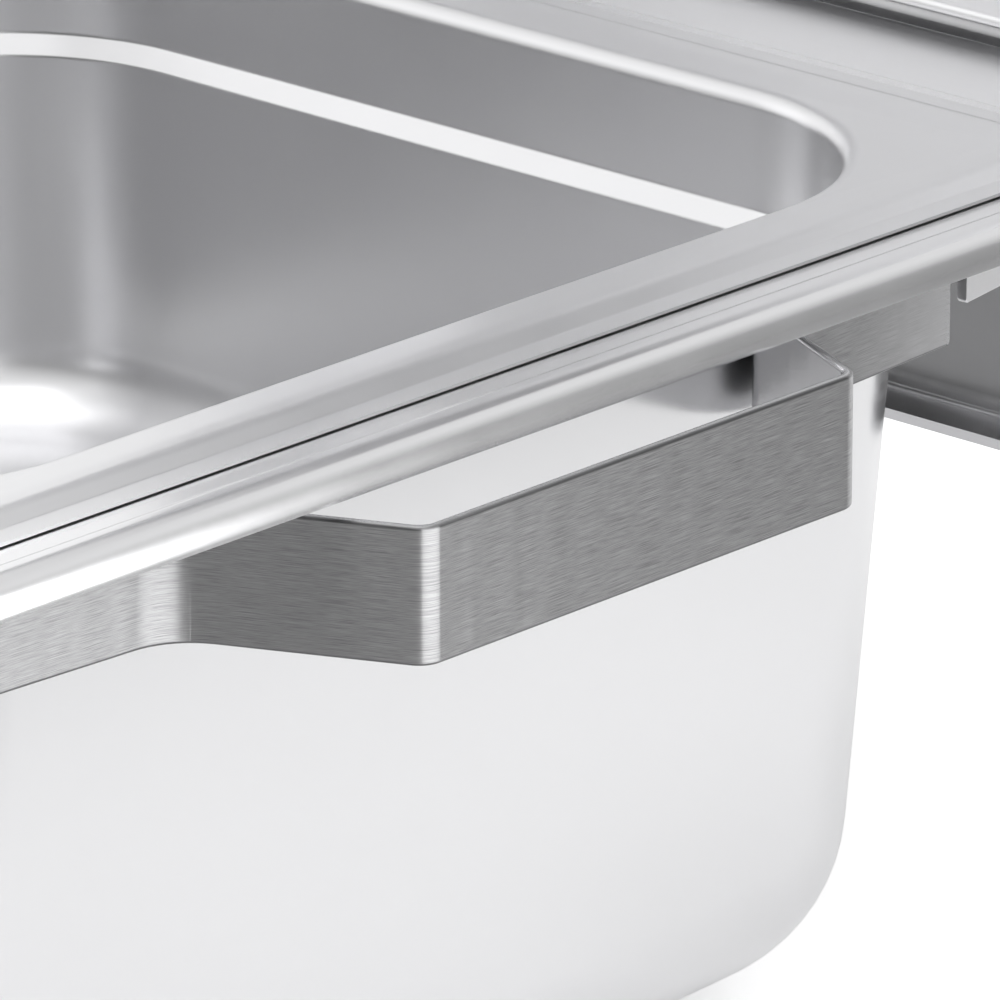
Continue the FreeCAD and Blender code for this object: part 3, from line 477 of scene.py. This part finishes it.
def brushed_steel(name, colour, roughness, smooth):
    """Flat bar with its outer face brushed lengthwise and painted darker as shade, the rest of it
    left smooth.
    """
    material, tree, shader = new_metal(name, colour, roughness)
    shader.inputs["Anisotropic"].default_value = 0.9
    shader.inputs["Anisotropic Rotation"].default_value = 0.25
    broad = stretched_noise(tree, "UV", (130.0, 8500.0, 1.0), 1.0, 2.0)
    fine = stretched_noise(tree, "UV", (380.0, 15000.0, 1.0), 1.0, 1.0)
    streaks = blended(tree, fine, broad, 0.35)
    marks = tree.nodes.new("ShaderNodeAttribute")
    marks.attribute_name = "brushed"
    face = tree.nodes.new("ShaderNodeMix")
    face.data_type = "RGBA"
    face.inputs["A"].default_value = (*smooth, 1.0)
    dark = tuple(c * 0.55 for c in colour)
    light = tuple(c * 1.45 for c in colour)
    wear = mapped(tree, marks.outputs["Fac"], (2.0, 1.0), (0.1, 1.0))
    kept = tree.nodes.new("ShaderNodeMath")
    kept.operation = "MULTIPLY"
    kept.use_clamp = True
    tree.links.new(marks.outputs["Fac"], kept.inputs[0])
    tree.links.new(wear, kept.inputs[1])
    tree.links.new(kept.outputs["Value"], face.inputs["Factor"])
    tree.links.new(tinted(tree, between(tree, streaks, 0.0, 1.0), dark, light), face.inputs["B"])
    # half way between the two lies the broken edge, whose colour is darkened there: a painted dark
    # reflection along the edges
    spread = tree.nodes.new("ShaderNodeMath")
    spread.operation = "MULTIPLY_ADD"
    spread.inputs[1].default_value = 2.0
    spread.inputs[2].default_value = -1.0
    tree.links.new(marks.outputs["Fac"], spread.inputs[0])
    away = tree.nodes.new("ShaderNodeMath")
    away.operation = "ABSOLUTE"
    tree.links.new(spread.outputs["Value"], away.inputs[0])
    edge = mapped(tree, away.outputs["Value"], (0.0, 1.0), (0.3, 1.0))
    tree.links.new(multiplied(tree, face.outputs["Result"], edge), shader.inputs["Base Color"])
    gloss = tree.nodes.new("ShaderNodeMix")
    gloss.inputs["A"].default_value = 0.24
    tree.links.new(kept.outputs["Value"], gloss.inputs["Factor"])
    tree.links.new(between(tree, streaks, roughness - 0.08, roughness + 0.08), gloss.inputs["B"])
    tree.links.new(gloss.outputs["Result"], shader.inputs["Roughness"])
    # the bar is never quite flat after bending, which shows as soft bands across it
    waves = stretched_noise(tree, "UV", (140.0, 6.0, 1.0), 1.0, 1.0)
    relief(tree, shader, blended(tree, streaks, waves, 0.02), 0.0001)
    return material


def mark_brushed_face(piece, loops, smooth_from=1000.0):
    """Mark a strap's points: 1 on its brushed outer face, a half on that face's edges, where a dark
    line is painted.

    Beyond smooth_from along the strap the brushing is worn, which is marked 2.
    """
    marks = piece.data.attributes.new("brushed", "FLOAT", "POINT")
    count = len(loops[0])
    across = [0.0] * count
    half = count // 2
    for step, mark in enumerate((1.0, 0.5, 0.5, 0.3)):
        across[half + step] = mark
        across[half - 1 - step] = mark
    worn = [2.0 * mark if mark == 1.0 else mark for mark in across]
    values = []
    for loop in loops:
        values += worn if loop[0][1] > smooth_from else across
    marks.data.foreach_set("value", values)


# painted shade: the brushed face's colour is set far below the smooth faces' colour, for the dark
# surroundings the bar reflects
strap_steel = brushed_steel("strap_brushed_shaded_steel", (0.37, 0.37, 0.375), 0.44, (0.60, 0.60, 0.61))
touch_y = WALL_HALF_Y - WALL_CORNER
tab_tilt = math.asin(touch_y / WALL_BOW)
strap_near = GRIP_LENGTH / 2.0 + LEG_RUN
strap_x = WALL_HALF_X - touch_y ** 2 / (2.0 * WALL_BOW)
strap_x += (touch_y - strap_near) * math.tan(tab_tilt)
strap_x += (STRAP_GAUGE + WELD_GAP) / math.cos(tab_tilt)
handle_loops = strap_loops(strap_points(GRIP_REACH, TAB_LENGTH, tab_tilt), STRAP_BENDS,
                           STRAP_GAUGE, STRAP_HEIGHT, (TAB_ROUND, TAB_ROUND), STRAP_EDGE)
for side, spin in (("right", 0.0), ("left", math.pi)):
    handle = skin("brushed_handle_" + side, handle_loops)
    move = Matrix.Rotation(spin, 4, "Z") @ Matrix.Translation(Vector((strap_x, 0, STRAP_LOW)) * MM)
    handle.data.transform(move)
    mark_brushed_face(handle, handle_loops, strap_near + TAB_WORN_FROM)
    dress(soften(handle), strap_steel, "base", "side_handle_" + side)


# Rear deck and back plate
# One folded sheet welded behind the ledge: a flat deck, a back plate hanging from it and
# a narrow lip turned forwards. Its rear corners are notched, so the lid's arms swing clear.
SHEET_GAUGE = 2.0
BACK_FACE = 201.0
DECK_BEND = 6.0
LIP_FOLD = 1.2
LIP_TOP = LEDGE_TOP - 74.8
LIP_RUN = 10.0
# heights and level of a band of painted shade on the back plate
SHADE_BAND_LOW = 0.0905
SHADE_BAND_HIGH = 0.156
SHADE_BAND_LEVEL = 0.42
NOTCH_INSIDE = 101.7
NOTCH_FRONT = 177.5
NOTCH_FLOOR = 145.0


def satin_plate(name, colour, roughness):
    """Folded sheet with a faint mill grain that runs across the dish."""
    material, tree, shader = new_metal(name, colour, roughness)
    grain = stretched_noise(tree, "Object", (30.0, 700.0, 700.0), 1.0, 2.0)
    dark = tuple(c * 0.975 for c in colour)
    light = tuple(min(c * 1.015, 1.0) for c in colour)
    tree.links.new(tinted(tree, grain, dark, light), shader.inputs["Base Color"])
    tree.links.new(between(tree, grain, roughness - 0.02, roughness + 0.02),
                   shader.inputs["Roughness"])
    relief(tree, shader, grain, 0.000002, 0.3)
    return material


def painted_shade_between(material, low, high, shade):
    """Paint shade into a sheet's colour between two heights in metres, darkening it there."""
    tree = material.node_tree
    shader = tree.nodes["Principled BSDF"]
    unshaded = shader.inputs["Base Color"].links[0].from_socket
    place = tree.nodes.new("ShaderNodeTexCoord")
    split = tree.nodes.new("ShaderNodeSeparateXYZ")
    fade = tree.nodes.new("ShaderNodeValToRGB")
    stops = fade.color_ramp.elements
    stops[0].position = 0.0
    stops[0].color = (1.0, 1.0, 1.0, 1.0)
    stops[1].position = 1.0
    stops[1].color = (1.0, 1.0, 1.0, 1.0)
    for position in (0.02, 0.95):
        stop = stops.new(position)
        stop.color = (shade, shade, shade, 1.0)
    tree.links.new(place.outputs["Object"], split.inputs["Vector"])
    tree.links.new(mapped(tree, split.outputs["Z"], (low, high), (0.0, 1.0)),
                   fade.inputs["Fac"])
    tree.links.new(multiplied(tree, unshaded, fade.outputs["Color"]),
                   shader.inputs["Base Color"])
    return material


# painted shade: this sheet's colour is set darker than the deck's, to dim the ears, stays, bearings
# and leaf that use it
hinge_shaded_steel = satin_plate("hinge_satin_steel", (0.70, 0.70, 0.71), 0.30)
# painted shade: the back plate's colour is darkened between these heights, for the shaded space it
# hangs in
deck_steel = painted_shade_between(satin_plate("deck_satin_steel", (0.82, 0.82, 0.83), 0.30),
                                 SHADE_BAND_LOW, SHADE_BAND_HIGH, SHADE_BAND_LEVEL)
deck_under = LEDGE_TOP - SHEET_GAUGE
fold = [(DECK_FRONT + WELD_GAP, deck_under), (BACK_FACE, deck_under), (BACK_FACE, LIP_TOP),
        (BACK_FACE - LIP_RUN, LIP_TOP)]
inner_face, outer_face = both_faces(fold, (0.0, DECK_BEND, LIP_FOLD, 0.0), SHEET_GAUGE, 10)
section = inner_face + outer_face[::-1]
deck_loops = [[Vector((x, y, z)) for y, z in section] for x in (-DECK_HALF, DECK_HALF)]
rear_deck = skin("folded_rear_deck", deck_loops)
outside = DECK_HALF + 2.0
behind = BACK_FACE + 4.0
above = LEDGE_TOP + 2.0
cut_away(rear_deck, [
    ((NOTCH_INSIDE, NOTCH_FRONT, NOTCH_FLOOR), (outside, behind, above)),
    ((-outside, NOTCH_FRONT, NOTCH_FLOOR), (-NOTCH_INSIDE, behind, above))])
dress(soften(rear_deck), deck_steel, "base", "hinge_channel")


# Ears and stays
# The ears are side plates behind the handle tabs, each with a narrow return welded behind
# the back plate. The stays are bent strips that join the back plate to the pan's rear wall.
EAR_TURN = math.radians(9.0)
EAR_FRONT = 136.0
EAR_LOW = LEDGE_TOP - 26.0
EAR_HEIGHT = 20.3
EAR_RETURN = 5.0
EAR_BEND = 2.2
EAR_EDGE = 0.3


def ear_loops(mirrored):
    """Bent plate with a rounded front end and a square rear end."""
    skin_run = STRAP_GAUGE / math.cos(EAR_TURN)
    x = DECK_HALF + DECK_JOINT + skin_run
    y = BACK_FACE + SHEET_GAUGE + WELD_GAP + STRAP_GAUGE
    points = [(x + (y - EAR_FRONT) * math.tan(EAR_TURN), EAR_FRONT), (x, y), (x - EAR_RETURN, y)]
    rounds = (TAB_ROUND, EAR_EDGE)
    if mirrored:
        points = [(-px, py) for px, py in points][::-1]
        rounds = rounds[::-1]
    return strap_loops(points, (0.0, EAR_BEND, 0.0), STRAP_GAUGE, EAR_HEIGHT, rounds, EAR_EDGE)


for side, mirrored in (("right", False), ("left", True)):
    ear = skin("hinge_side_plate_" + side, ear_loops(mirrored))
    ear.data.transform(Matrix.Translation(Vector((0, 0, EAR_LOW)) * MM))
    dress(soften(ear), hinge_shaded_steel, "base", "hinge_ear_" + side)


def dressed_node(name, material, sharp=32.0):
    """CAD node that keeps its shape and gets a finish and smooth shading."""
    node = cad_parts[name]
    node.data.materials.clear()
    node.data.materials.append(material)
    node.data.polygons.foreach_set("use_smooth", [True] * len(node.data.polygons))
    node.data.set_sharp_from_angle(angle=math.radians(sharp))
    return node


polished_steel = satin_steel("polished_screw_steel", (0.78, 0.78, 0.79), 0.12)
for side in ("right", "left"):
    dressed_node("hinge_stay_" + side, hinge_shaded_steel)


# Axle, bearings and stops
# A ground steel axle lies under the deck in four upright bearing plates. Silicone caps on
# the notches' lower edges stop the lid's arms softly.
def silicone():
    """Matt black silicone with a slight skin texture."""
    material = bpy.data.materials.new("black_silicone")
    material.use_nodes = True
    tree = material.node_tree
    shader = tree.nodes["Principled BSDF"]
    shader.inputs["Base Color"].default_value = (0.035, 0.035, 0.037, 1.0)
    pores = stretched_noise(tree, "Object", (1.0, 1.0, 1.0), 900.0, 3.0)
    tree.links.new(between(tree, pores, 0.52, 0.70), shader.inputs["Roughness"])
    relief(tree, shader, pores, 0.00004, 0.5)
    return material


black_silicone = silicone()
dressed_node("hinge_axle", polished_steel)
dressed_node("axle_caps", polished_steel)
for side in ("right", "left"):
    for where in ("outer", "inner"):
        dressed_node("bearing_%s_%s" % (side, where), hinge_shaded_steel)
dressed_node("stop_pads", black_silicone)


# Food pan
# The lift-out insert, drawn from thinner sheet: a tapered bowl with a stacking shoulder
# and a raised land whose outer step rests its lip on the ledge.
PAN_GAUGE = 0.9
PAN_DEPTH = 100.0
FLANGE = 23.0
LAND = 14.5
LAND_CORNER = 13.0
LAND_TOP = LEDGE_TOP + 1.8 + PAN_GAUGE
BOWL_CORNER = 48.0
LIP_BEND = 3.5
PAN_TAPER = math.radians(2.0)
PAN_FLOOR_BEND = 16.0
LAND_SLOPE = 3.7
STEP_BENDS = (0.0, 1.6, 6.5, 22.0, 0.0)
LAND_FALL = 0.75
LIP_LIFT = 0.3
SHOULDER_DEPTH = 23.5
SHOULDER_RISE = 4.0
SHOULDER_INSET = 2.6
SHOULDER_BEND = 1.5


def food_pan_loops():
    """Loops of the insert: inside face from the floor out, underside back."""
    wall = -FLANGE
    floor = LAND_TOP - PAN_DEPTH
    shoulder = LAND_TOP - SHOULDER_DEPTH
    shoulder_foot = shoulder - SHOULDER_RISE
    inset = wall - SHOULDER_INSET
    foot = inset - (shoulder_foot - floor) * math.tan(PAN_TAPER)
    mouth = LAND_TOP - LAND_FALL
    bowl_path = [(wall + LIP_BEND, mouth), (wall, mouth - 0.35), (wall, shoulder),
                 (inset, shoulder_foot), (foot, floor), (foot - PAN_FLOOR_BEND - 1.0, floor)]
    bends = (0.0, LIP_BEND, SHOULDER_BEND, SHOULDER_BEND, PAN_FLOOR_BEND, 0.0)
    inside, outside = both_faces(bowl_path, bends, PAN_GAUGE, 10)
    lip = LEDGE_TOP + PAN_GAUGE
    edge = FLANGE - LAND
    step_path = [(edge, lip), (LAND_SLOPE, lip), (0.0, LAND_TOP), (-4.0, LAND_TOP),
                 (-8.0, LAND_TOP - 0.43)]
    above, below = both_faces(step_path, STEP_BENDS, PAN_GAUGE, 10)
    below = [(edge, LEDGE_TOP + LIP_LIFT), (edge - 2.0, LEDGE_TOP)] + below[1:]
    bowl = straight_outline(LIP_HALF_X - FLANGE, LIP_HALF_Y - FLANGE, BOWL_CORNER)
    land = straight_outline(LIP_HALF_X - edge, LIP_HALF_Y - edge, LAND_CORNER)
    loops = [loop_at(bowl, w + FLANGE, z) for w, z in inside[::-1]]
    loops += [loop_at(land, w, z) for w, z in above[::-1]]
    loops += [loop_at(land, w, z) for w, z in below]
    loops += [loop_at(bowl, w + FLANGE, z) for w, z in outside]
    return loops


pan_steel = satin_steel("pan_satin_steel", (0.72, 0.72, 0.73), 0.29, 0.000001)
food_pan = skin("drawn_food_pan", food_pan_loops())
dress(soften(food_pan), pan_steel, "food_pan", "food_pan")


# Hinge leaf and knuckles
# A cranked plate across the lid's rear wall, held by four screws. The arm at each end of it
# is welded to a short tube that turns on the axle.
dressed_node("hinge_leaf", hinge_shaded_steel)
for side in ("right", "left"):
    dressed_node("hinge_knuckle_" + side, polished_steel)
dressed_node("hinge_leaf_screws", polished_steel)


# Lid
# Drawn from one sheet like the pans, with a hem folded up inside its edge and a raised
# panel on top. It stands open here, turned back about the axle.
LID_GAUGE = 1.2
LID_HALF_X = LIP_HALF_X + 4.0
LID_HALF_Y = LIP_HALF_Y + 4.0
LID_LOW = LEDGE_TOP + 1.5
LID_HEIGHT = 74.0
LID_CORNER = 24.5
LID_TAPER = math.radians(3.0)
LID_LEAN = math.tan(LID_TAPER)
LID_BEND = 20.0
PANEL_MARGIN = 14.0
PANEL_RISE = 3.0
PANEL_RUN = 6.0
PANEL_BENDS = (0.0, 1.2, 2.6, 0.0)
PANEL_CORNER = 16.0
HEM_HEIGHT = 5.0
AXLE_BACK = 182.0
AXLE_UP = LEDGE_TOP - 10.5
OPEN_ANGLE = math.radians(96.0)


def lid_loops():
    """Loops of the closed lid: outer face from the panel down, inner face back up."""
    top = LID_LOW + LID_HEIGHT
    reach = -LID_HEIGHT * LID_LEAN
    flat = reach - LID_BEND - 0.5
    wall_path = [(0.0, LID_LOW + 1.2), (reach, top), (flat, top)]
    outer, inner = both_faces(wall_path, [0, LID_BEND, 0], LID_GAUGE, 14)
    wall = straight_outline(LID_HALF_X, LID_HALF_Y, LID_CORNER)
    margin = flat - PANEL_MARGIN
    panel = straight_outline(LID_HALF_X + margin, LID_HALF_Y + margin, PANEL_CORNER)
    rise = top + PANEL_RISE
    step_path = [(1.4, top), (0.0, top), (0.0, rise), (-PANEL_RUN, rise)]
    step, under = both_faces(step_path, PANEL_BENDS, LID_GAUGE, 6)
    # hem: rounded fold, then a second layer inside the wall
    fold = []
    for k in range(1, 8):
        angle = math.radians(180.0 + 180.0 * k / 8)
        fold.append((-LID_GAUGE - LID_GAUGE * math.cos(angle), LID_LOW + 1.2 + 1.2 * math.sin(angle)))
    fold = [(-2.0 * LID_GAUGE - w, z) for w, z in fold][::-1]
    hem_top = LID_LOW + HEM_HEIGHT
    shift = HEM_HEIGHT * LID_LEAN
    hem = [(-2.0 * LID_GAUGE, LID_LOW + 1.2), (-2.0 * LID_GAUGE - shift, hem_top - 0.3),
           (-1.8 * LID_GAUGE - shift, hem_top), (-LID_GAUGE - shift, hem_top)]
    loops = [loop_at(panel, w, z) for w, z in step[::-1]]
    loops += [loop_at(wall, w, z) for w, z in outer[::-1]]
    loops += [loop_at(wall, w, z) for w, z in fold]
    loops += [loop_at(wall, w, z) for w, z in hem]
    loops += [loop_at(wall, w, z) for w, z in inner[1:]]
    loops += [loop_at(panel, w, z) for w, z in under]
    return loops


hinge = Matrix.Translation(Vector((0, AXLE_BACK, AXLE_UP)) * MM)
opened = hinge @ Matrix.Rotation(-OPEN_ANGLE, 4, "X") @ hinge.inverted()
lid_steel = satin_steel("lid_satin_steel", (0.83, 0.83, 0.84), 0.42)
lid = skin("drawn_lid", lid_loops())
lid.data.transform(opened)
dress(soften(lid), lid_steel, "lid", "lid_shell")
dressed_node("lid_buffers", black_silicone)


# Lid handle
# The same flat bar as the side handles, on the lid's front wall, held by a domed screw
# and a nut at each end.
LID_STRAP_HEIGHT = 20.0
LID_STRAP_LOW = 28.0
LID_GRIP_REACH = 36.0
LID_TAB = 34.0
front_lean = Matrix.Rotation(-LID_TAPER, 4, "X")
front_y = -(LID_HALF_Y - LID_STRAP_LOW * LID_LEAN)
front_out = front_lean @ Vector((0.0, -STRAP_GAUGE, 0.0))
front_at = Vector((0.0, front_y, LID_LOW + LID_STRAP_LOW)) + front_out
lid_handle_loops = strap_loops(strap_points(LID_GRIP_REACH, LID_TAB, 0.0), STRAP_BENDS,
                               STRAP_GAUGE, LID_STRAP_HEIGHT, (TAB_ROUND, TAB_ROUND),
                               STRAP_EDGE)
lid_handle = skin("brushed_lid_handle", lid_handle_loops)
mark_brushed_face(lid_handle, lid_handle_loops)
front_turn = Matrix.Rotation(-math.pi / 2.0, 4, "Z")
lid_handle.data.transform(opened @ Matrix.Translation(front_at * MM) @ front_lean @ front_turn)
dress(soften(lid_handle), strap_steel, "lid", "lid_handle")
dressed_node("lid_handle_screws", polished_steel)


# Floor
# A wide sheet of pale studio paper that the dish stands on. In the metal it shows a painted pool of
# light, its middle bright and its outer parts painted dim, and a painted glow near the dish.
PAPER_WHITE = (0.88, 0.88, 0.88)
PAPER_PAINTED_DIM = (0.26, 0.26, 0.26)
PAINTED_POOL_STRETCH = (1.0, 0.75, 1.0)
PAINTED_POOL_SHIFT = (0.0, -0.09, 0.0)
PAINTED_POOL_EDGES = (0.30, 0.53)
PAINTED_GLOW_EDGES = (0.40, 0.20)
PAINTED_GLOW_LEVELS = (0.04, 0.20)
PAPER_SEEN = 0.45


def studio_paper():
    """White paper that keeps a soft shadow; in the metal it shows painted dimming further out and a
    painted glow.
    """
    material = bpy.data.materials.new("studio_paper")
    material.use_nodes = True
    tree = material.node_tree
    shader = tree.nodes["Principled BSDF"]
    shader.inputs["Roughness"].default_value = 0.9
    place = tree.nodes.new("ShaderNodeTexCoord")
    narrowed = tree.nodes.new("ShaderNodeVectorMath")
    narrowed.operation = "MULTIPLY_ADD"
    narrowed.inputs[1].default_value = PAINTED_POOL_STRETCH
    narrowed.inputs[2].default_value = PAINTED_POOL_SHIFT
    tree.links.new(place.outputs["Object"], narrowed.inputs[0])
    reach = tree.nodes.new("ShaderNodeVectorMath")
    reach.operation = "LENGTH"
    tree.links.new(narrowed.outputs["Vector"], reach.inputs[0])
    painted_dimming = mapped(tree, reach.outputs["Value"], PAINTED_POOL_EDGES, (0.0, 1.0))
    # for mirror rays the paper's colour is painted dim further out from the dish
    path = tree.nodes.new("ShaderNodeLightPath")
    share = tree.nodes.new("ShaderNodeMath")
    share.operation = "MULTIPLY"
    tree.links.new(path.outputs["Is Glossy Ray"], share.inputs[0])
    tree.links.new(painted_dimming, share.inputs[1])
    tree.links.new(tinted(tree, share.outputs["Value"], PAPER_WHITE, PAPER_PAINTED_DIM),
                   shader.inputs["Base Color"])
    seen = tree.nodes.new("ShaderNodeMath")
    seen.operation = "MULTIPLY"
    seen.inputs[1].default_value = PAPER_SEEN
    tree.links.new(path.outputs["Is Camera Ray"], seen.inputs[0])
    # for mirror rays the paper glows, most near the dish: a painted glow
    painted_glow = mapped(tree, reach.outputs["Value"], PAINTED_GLOW_EDGES, PAINTED_GLOW_LEVELS)
    level = tree.nodes.new("ShaderNodeMath")
    level.operation = "MULTIPLY_ADD"
    tree.links.new(path.outputs["Is Glossy Ray"], level.inputs[0])
    tree.links.new(painted_glow, level.inputs[1])
    tree.links.new(seen.outputs["Value"], level.inputs[2])
    shader.inputs["Emission Color"].default_value = (1.0, 1.0, 1.0, 1.0)
    tree.links.new(level.outputs["Value"], shader.inputs["Emission Strength"])
    return material


def floor_mesh():
    """Large flat disc of paper, finer towards its middle."""
    spokes = 64
    paper = bmesh.new()
    turns = [t * math.tau / spokes for t in range(spokes)]
    rings = [[paper.verts.new((r * math.cos(turn), r * math.sin(turn), 0)) for turn in turns]
             for r in (0.3, 1.0, 3.0, 9.0)]
    for small, large in zip(rings, rings[1:]):
        for t in range(spokes):
            n = (t + 1) % spokes
            paper.faces.new((small[t], large[t], large[n], small[n]))
    paper.faces.new(rings[0])
    mesh = bpy.data.meshes.new("floor")
    paper.to_mesh(mesh)
    paper.free()
    return mesh


floor = bpy.data.objects.new("floor", floor_mesh())
bpy.context.scene.collection.objects.link(floor)
floor.data.materials.append(studio_paper())


# Light
# Soft daylight studio: a surround that is bright on the left, where the window is, and dim
# at the front and on the right. Large boxes hang overhead and by the window, and two cards
# stand to the right and behind.
SKY_STOPS = ((0.0, 0.85), (0.12, 0.9), (0.33, 1.0), (0.6, 0.9), (1.0, 0.7))
WINDOW_EDGES = (0.3, -0.6)
WINDOW_LEVELS = (0.35, 1.22)
FRONT_EDGES = (-0.92, -0.62)
FRONT_LEVELS = (0.1, 1.0)
CEILING_EDGES = (0.34, 0.66)
CEILING_LEVEL = 1.08


def surround():
    """World light for what the metal shows, with plain white behind the dish."""
    world = bpy.data.worlds.new("studio")
    bpy.context.scene.world = world
    world.use_nodes = True
    tree = world.node_tree
    tree.nodes.clear()
    place = tree.nodes.new("ShaderNodeTexCoord")
    split = tree.nodes.new("ShaderNodeSeparateXYZ")
    ramp = tree.nodes.new("ShaderNodeValToRGB")
    tree.links.new(place.outputs["Generated"], split.inputs["Vector"])
    tree.links.new(split.outputs["Z"], ramp.inputs["Fac"])
    stops = ramp.color_ramp.elements
    for position, grey in SKY_STOPS[1:-1]:
        stops.new(position)
    for stop, (position, grey) in zip(stops, SKY_STOPS):
        stop.position = position
        stop.color = (grey, grey, grey, 1.0)
    window = mapped(tree, split.outputs["X"], WINDOW_EDGES, WINDOW_LEVELS)
    front = mapped(tree, split.outputs["Y"], FRONT_EDGES, FRONT_LEVELS)
    dimmed = tree.nodes.new("ShaderNodeMath")
    dimmed.operation = "MULTIPLY"
    tree.links.new(window, dimmed.inputs[0])
    tree.links.new(front, dimmed.inputs[1])
    ceiling = mapped(tree, split.outputs["Z"], CEILING_EDGES, (0.0, 1.0))
    level = tree.nodes.new("ShaderNodeMix")
    level.inputs["B"].default_value = CEILING_LEVEL
    tree.links.new(ceiling, level.inputs["Factor"])
    tree.links.new(dimmed.outputs["Value"], level.inputs["A"])
    soft = tree.nodes.new("ShaderNodeBackground")
    plain = tree.nodes.new("ShaderNodeBackground")
    plain.inputs["Color"].default_value = (1.0, 1.0, 1.0, 1.0)
    mix = tree.nodes.new("ShaderNodeMixShader")
    path = tree.nodes.new("ShaderNodeLightPath")
    out = tree.nodes.new("ShaderNodeOutputWorld")
    tree.links.new(ramp.outputs["Color"], soft.inputs["Color"])
    tree.links.new(level.outputs["Result"], soft.inputs["Strength"])
    tree.links.new(path.outputs["Is Camera Ray"], mix.inputs["Fac"])
    tree.links.new(soft.outputs["Background"], mix.inputs[1])
    tree.links.new(plain.outputs["Background"], mix.inputs[2])
    tree.links.new(mix.outputs["Shader"], out.inputs["Surface"])


def soft_box(name, position, target, width, height, power, on_paper=True):
    """Rectangular lamp that faces a point; off the paper it only shows in the metal."""
    lamp = bpy.data.lights.new(name, "AREA")
    lamp.shape = "RECTANGLE"
    lamp.size = width
    lamp.size_y = height
    lamp.energy = power
    holder = bpy.data.objects.new(name, lamp)
    holder.location = position
    away = Vector(position) - Vector(target)
    holder.rotation_euler = away.to_track_quat("Z", "Y").to_euler()
    holder.visible_camera = False
    holder.visible_diffuse = on_paper
    bpy.context.scene.collection.objects.link(holder)


surround()
soft_box("box_above", (0.2, -0.2, 2.2), (0.0, 0.0, 0.1), 1.8, 1.8, 15.5)
soft_box("card_right", (0.70, -0.03, 0.31), (0.0, -0.03, 0.31), 0.80, 0.60, 6.0, False)
soft_box("window_left", (-0.90, -0.72, 0.95), (0.05, 0.19, 0.20), 1.60, 1.60, 2.0, False)
soft_box("card_behind", (0.10, 0.75, 0.25), (0.10, 0.0, 0.25), 0.80, 0.50, 1.6, False)


# Camera
# A long lens from the right front, a little above the rim, close on the right handle.
AIM = Vector((128.16, 11.91, 130.9)) * MM
VIEW = Vector((-0.6360, 0.6967, -0.3320)).normalized()
camera_data = bpy.data.cameras.new("camera")
camera_data.sensor_width = 36.0
camera_data.lens = 384.5
camera_data.clip_start = 0.05
camera_data.clip_end = 50.0
camera = bpy.data.objects.new("camera", camera_data)
camera.location = AIM - VIEW * 1.8487
camera.rotation_euler = (-VIEW).to_track_quat("Z", "Y").to_euler()
bpy.context.scene.collection.objects.link(camera)
bpy.context.scene.camera = camera
bpy.context.scene.view_settings.view_transform = "Standard"
